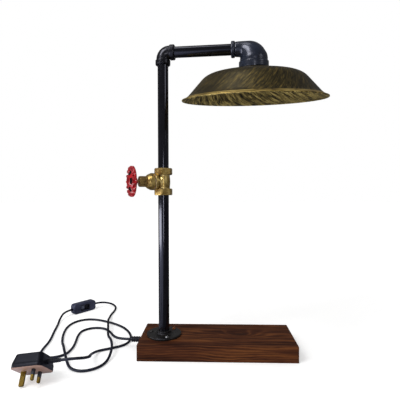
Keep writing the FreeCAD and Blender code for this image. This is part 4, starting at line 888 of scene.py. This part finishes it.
def fan(share):
    """Centre, outward direction and radius of the bend's section, for a share from 0 to 1."""
    angle = math.radians(90 * share)
    out = Vector((math.sin(angle), 0, math.cos(angle)))
    corner = Vector((-NECK_END, 0, -LEG_TOP))
    middle = (BULGE_CENTRE - corner).dot(out)
    far = middle + math.sqrt(BULGE_R ** 2 - (BULGE_CENTRE - corner).length_squared + middle ** 2)
    if math.tan(angle) * (LEG_TOP + NECK_R) < BULGE_CENTRE.x - corner.x:
        far = (LEG_TOP + NECK_R) / math.cos(angle)
    first, last = LEG_TOP - NECK_R, NECK_END - LEG_R
    near = first + (last - first) * share
    blend = max(0.0, share * 6 - 5)
    far = far * (1 - blend) + (NECK_END + LEG_R) * blend
    return corner + out * ((near + far) / 2), out, (far - near) / 2


def head_elbow_skin():
    """Small collar and neck, a bend that widens about its inner corner, leg and big collar."""
    ahead, up = Vector((1, 0, 0)), Vector((0, 0, 1))
    neck = open_outline([(-44.1, 10.9, 0.4), (-44.1, 15.6, 2.2), (-37.2, 15.75, 2.2),
                         (-36.2, 13.3, 0.5), (-34.6, 13.9, 0.8), (-NECK_END, NECK_R, 0)], 1.5)
    leg = open_outline([(-LEG_TOP, LEG_R, 0), (-23.0, LEG_R, 0.8), (-24.0, 28.9, 1.3),
                        (-35.8, 29, 1.6), (-36, 20.7, 0.4), (-21, 20.7, 0), (-21, 11.6, 0)], 1.5)
    rings = [section(Vector((x, 0, 0)), up, r) for x, r in neck]
    rings += [section(*fan(step / FAN_STEPS)) for step in range(1, FAN_STEPS)]
    rings += [section(Vector((0, 0, z)), ahead, r) for z, r in leg]
    for step in range(FAN_STEPS - 1, 0, -2):
        centre, out, r = fan(step / FAN_STEPS)
        rings.append(section(centre, out, min(11.6, r - 1.5)))
    rings.append(section(Vector((-NECK_END, 0, 0)), up, 11.2))
    return strip(rings)


head_elbow = finished("head_casting", *head_elbow_skin(), HEAD, "head", "slate_iron")
coat(slate_casting, head_elbow)
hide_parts("reducing_elbow")


# ---- shade and lamp holder ----

RIM = -97.0  # the rim's height in the head's frame
SHEET = 1.0
BEAD_CENTRE = Vector((141.0, 1.5))
BEAD_R = 1.5
BEAD_CLEAR = 1.6  # the sheet ends this far from the bead's centre
BEAD_OUTSIDE = 6  # the bead's first steps, which belong to the outside
LIP_R = 133.5  # from here on the outside gets the painted highlight


def shade_skin():
    """Spun sheet 1 mm thick with a rolled bead; gives the skin and each face's finish."""
    corners = [(20, 61, 0), (30, 61, 90), (86, 50, 90), (98.5, 43.5, 90), (131, 8, 90),
               (141.5, 1.5, 0)]
    outer = open_outline(corners, 4.0, 8)
    inner = []
    for i, point in enumerate(outer):
        before = outer[max(i - 1, 0)]
        after = outer[min(i + 1, len(outer) - 1)]
        along = (after - before).normalized()
        inner.append(point + Vector((along.y, -along.x)) * SHEET)
    outer = [point for point in outer if (point - BEAD_CENTRE).length > BEAD_CLEAR]
    inner = [point for point in inner
             if (point - BEAD_CENTRE).length > BEAD_CLEAR and point.y > 0.4]
    bead = [BEAD_CENTRE + BEAD_R * Vector((math.cos(a), math.sin(a)))
            for a in (math.radians(105 - 18 * step) for step in range(17))]
    outline = outer + bead + inner[::-1]
    outside = len(outer) + BEAD_OUTSIDE
    segments = 144
    lifted = [Vector((point.x, point.y + RIM)) for point in outline]
    vertices, faces = strip(turned_rings(lifted, segments))
    indices = []
    for face in faces:
        ring = min(index // segments for index in face)
        wraps = max(index // segments for index in face) - ring > 1
        if ring >= outside or wraps:
            indices.append(1)
        else:
            # Outside faces beyond LIP_R get the painted highlight.
            indices.append(2 if outline[ring].x > LIP_R else 0)
    return vertices, faces, indices


vertices, faces, indices = shade_skin()
lamp_shade = finished("spun_shade", vertices, faces, HEAD, "head", "bronze_shade", 40)
coat_by_face(lamp_shade, (bronze_rubbed, gold_rubbed, lip_highlight), indices)
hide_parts("shade")


THREAD_PITCH = 3.6
THREAD_DEPTH = 0.28
SHELL_Z = (-71.9, -50.1)


def threaded(r, z, angle):
    """A rolled lamp thread."""
    return r + THREAD_DEPTH * math.cos(2 * math.pi * z / THREAD_PITCH - angle)


shell_outline = []
for r, ends in ((13.5, SHELL_Z), (13.7, SHELL_Z[::-1])):
    shell_outline += divided([Vector((r, z)) for z in ends], 0.45, closed=False)
shell = finished("threaded_shell", *strip(turned_rings(shell_outline, 72, threaded)), HEAD,
                 "head", "holder_brass")
coat(holder_brass, shell)
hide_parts("screw_shell")


# ---- plug ----


PIN_NOSE = 1.3
PIN_HALF_WIDTH = 3.175
LINE_PIN_Y = 11.1


def pin_skin(x0, x1, y0, y1, z_end, z_root):
    """A flat pin whose end is drawn in on all sides."""
    outline = round_rectangle(x0, x1, y0, y1, 0.5, 3)
    centre = Vector(((x0 + x1) / 2, (y0 + y1) / 2))
    half_x, half_y = (x1 - x0) / 2, (y1 - y0) / 2
    rings = []
    for z, inset in ((z_end, PIN_NOSE), (z_end + PIN_NOSE * 0.35, PIN_NOSE * 0.55),
                     (z_end + PIN_NOSE, PIN_NOSE * 0.12), (z_end + PIN_NOSE * 1.7, 0),
                     (z_root, 0)):
        ring = []
        for point in outline:
            away = Vector(point) - centre
            ring.append((centre.x + away.x * (1 - inset / half_x),
                         centre.y + away.y * (1 - inset / half_y), z))
        rings.append(ring)
    return capped(rings)


blades = [("earth_blade", (-26.2, -18.2, -2, 2, -22.7, 1.0), "plug_earth_pin")]
for i, y in ((1, -LINE_PIN_Y), (2, LINE_PIN_Y)):
    blades.append(("line_blade_%d" % i,
                   (-2, 2, y - PIN_HALF_WIDTH, y + PIN_HALF_WIDTH, -17.7, -8.9),
                   "plug_line_pin_%d" % i))
on_plug = []
for name, shape, node_name in blades:
    blade = finished(name, *pin_skin(*shape), PLUG, "stand", "pin_brass", 50)
    coat(pin_brass, blade)
    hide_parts(node_name)
    on_plug.append(blade)


def plug_base_skin():
    """The plug's lower moulding: a rounded slab with a small chamfer round its pin face."""
    rings = []
    for z, inset in ((0.0, 1.0), (0.25, 0.4), (0.9, 0.0), (7.2, 0.0), (7.6, 0.35), (8.0, 0.35)):
        outline = round_rectangle(-33.7 + inset, 18 - inset, -26.5 + inset, 26.5 - inset,
                                  8 - inset, 8)
        rings.append([(x, y, z) for x, y in outline])
    return capped(rings)


pin_face = finished("plug_lower_moulding", *plug_base_skin(), PLUG, "stand", "plug_beige", 50)
down = (PLUG.to_3x3() @ Vector((0, 0, -1))).normalized()
coat_by_face(pin_face, (plug_shell, plug_face),
             [int(face.normal.dot(down) > 0.5) for face in pin_face.data.polygons])
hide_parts("plug_base")

relief_corners = [(0, -4, 0), (3.9, -4, 0), (3.9, 1.2, 0.4)]
for i in range(6):
    x = 1.6 + i * 3.0
    wide = 3.9 - 0.7 * x / 20
    relief_corners += [(wide - 0.75, x, 0.25), (wide - 0.75, x + 1.0, 0.25),
                       (wide, x + 1.2, 0.35), (wide - 0.05, x + 2.9, 0.35)]
relief_corners += [(3.15, 19.8, 0.4), (0, 19.9, 0)]


# ---- switch ----

ROCKER_HALF = 10.5


def rocker_skin(x0, x1):
    """Half of the rocker between x0 and x1, its face falling to the middle, edges eased."""
    steps = 8
    rings = []
    for i in range(steps + 1):
        x = x0 + (x1 - x0) * i / steps
        end = max(0.0, 0.5 - min(x + ROCKER_HALF, ROCKER_HALF - x))
        top = 1.6 - 1.4 * (1 - abs(x) / ROCKER_HALF) - end
        ring = [(x, top - lower, z) for z, lower in (
            (-5.5, 0.5), (-5.2, 0.15), (-4.8, 0.0), (4.8, 0.0), (5.2, 0.15), (5.5, 0.5))]
        rings.append(ring + [(x, -5.9, 5.5), (x, -5.9, -5.5)])
    return capped(rings)


# The pale half is a painted highlight on the black rocker.
for name, ends, finish in (("rocker_dark_half", (-ROCKER_HALF, -0.1), rocker_black),
                           ("rocker_highlight_half", (-0.1, ROCKER_HALF), rocker_plastic)):
    half = finished(name, *rocker_skin(*ends), ROCKER, "rocker", "rocker_plastic", 35)
    coat(finish, half)
    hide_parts("switch_rocker")


def window_frame_skin():
    """A raised lip round the rocker's window."""
    rings = []
    for grow, y in ((0.0, 7.6), (0.0, 9.35), (0.25, 9.6), (1.0, 9.6), (1.3, 9.35), (1.3, 8.9)):
        outline = round_rectangle(-11.6 - grow, 11.6 + grow, -5.8 - grow, 5.8 + grow,
                                  0.6 + grow, 4)
        rings.append([(x, y, z) for x, z in outline])
    return strip(rings, closed=False)


window_frame = finished("switch_window_frame", *window_frame_skin(), SWITCH, "stand",
                        "switch_plastic", 35)
coat(rocker_black, window_frame)

relief = turned("plug_relief", relief_corners,
                PLUG @ place(18, 0, 12) @ turn(90, "Y"), "stand", "black_rubber", 56,
                closed=False)
coat(gland_rubber, relief)
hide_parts("plug_strain_relief")

on_plug += [pin_face, relief]


# ---- studio ----


ROOM = 0.50  # how bright the world is for most rays,
SEEN = 1.0  # for the camera,
MIRRORED = 0.15  # and in reflections


def studio_world():
    """White for the camera, a soft grey room for everything else."""
    world = bpy.data.worlds.new("studio")
    bpy.context.scene.world = world
    world.use_nodes = True
    tree = world.node_tree
    background = tree.nodes["Background"]
    background.inputs["Color"].default_value = (1, 1, 1, 1)
    path = tree.nodes.new("ShaderNodeLightPath")
    level = ROOM
    for ray, change in (("Is Camera Ray", SEEN - ROOM), ("Is Glossy Ray", MIRRORED - ROOM)):
        step = tree.nodes.new("ShaderNodeMath")
        step.operation = "MULTIPLY_ADD"
        for socket, value in zip(step.inputs, (path.outputs[ray], change, level)):
            feed(tree, socket, value)
        level = step.outputs[0]
    tree.links.new(level, background.inputs["Strength"])


FLOOR_HALF = 12.0
FLOOR_Z = -0.0003


def studio_floor():
    """A white floor that glows for the camera, more so away from the lamp.

    Reflections see a dark floor with a bright sheet at its front left, which gives the pole its
    strip of light.
    """
    mesh = bpy.data.meshes.new("studio_floor")
    corners = ((-1, -1), (1, -1), (1, 1), (-1, 1))
    mesh.from_pydata([(x * FLOOR_HALF, y * FLOOR_HALF, FLOOR_Z) for x, y in corners], [],
                     [(0, 1, 2, 3)])
    floor = bpy.data.objects.new("studio_floor", mesh)
    bpy.context.collection.objects.link(floor)
    finish = Finish("studio_white", Roughness=0.9, Specular_IOR_Level=0.0,
                    Emission_Color=(1, 1, 1, 1))
    white = finish.ramp(finish.noise(3, 2, 0.5), [(0.0, 0.82), (1.0, 0.84)])
    x, y, _ = finish.xyz(finish.coordinates)
    left = finish.node("MapRange", Value=x, From_Min=-0.14, From_Max=-0.24)
    front = finish.node("MapRange", Value=y, From_Min=0.12, From_Max=0.02)
    sheet = finish.mix(finish.number("MULTIPLY", left, front), (0.10, 0.10, 0.11, 1),
                       (0.74, 0.78, 0.95, 1))
    colour = finish.mix(finish.node("LightPath", output="Is Glossy Ray"), white, sheet)
    reach = finish.node("VectorMath", {"operation": "LENGTH"}, "Value",
                        Vector=finish.coordinates)
    glow = finish.number("MULTIPLY", finish.node("LightPath", output="Is Camera Ray"),
                         finish.node("MapRange", Value=reach, From_Min=0.3, From_Max=1.5,
                                     To_Min=0.40, To_Max=0.75))
    mesh.materials.append(finish.use(Base_Color=colour, Emission_Strength=glow))


def softbox(name, location, target, width, height, power):
    """A rectangular lamp that faces a target; sizes in metres, power in watts."""
    light = bpy.data.lights.new(name, "AREA")
    light.shape = "RECTANGLE"
    light.size = width
    light.size_y = height
    light.energy = power
    lamp = bpy.data.objects.new(name, light)
    bpy.context.collection.objects.link(lamp)
    away = Vector(location) - Vector(target)
    aim = away.to_track_quat("Z", "Y").to_matrix().to_4x4()
    lamp.matrix_world = Matrix.Translation(location) @ aim
    return lamp


studio_world()
studio_floor()
softbox("key_light", (-1.05, -1.00, 1.65), (-0.05, 0, 0.3), 0.7, 0.9, 20)
softbox("low_light", (-1.35, -0.55, 0.12), (-0.1, 0, 0.12), 1.5, 0.22, 9)
strip_light = softbox("strip_light", (0.12, -1.69, 0.18), (-0.1, 0, 0.2), 0.16, 0.75, 4)
strip_light.visible_diffuse = False
softbox("fill_light", (1.4, -1.0, 1.0), (0.0, 0, 0.3), 0.5, 0.5, 2)
softbox("top_light", (-0.35, -0.30, 1.95), (0.1, 0, 0.4), 0.6, 0.6, 2.5)


# ---- update the scene ----


bpy.context.view_layer.update()
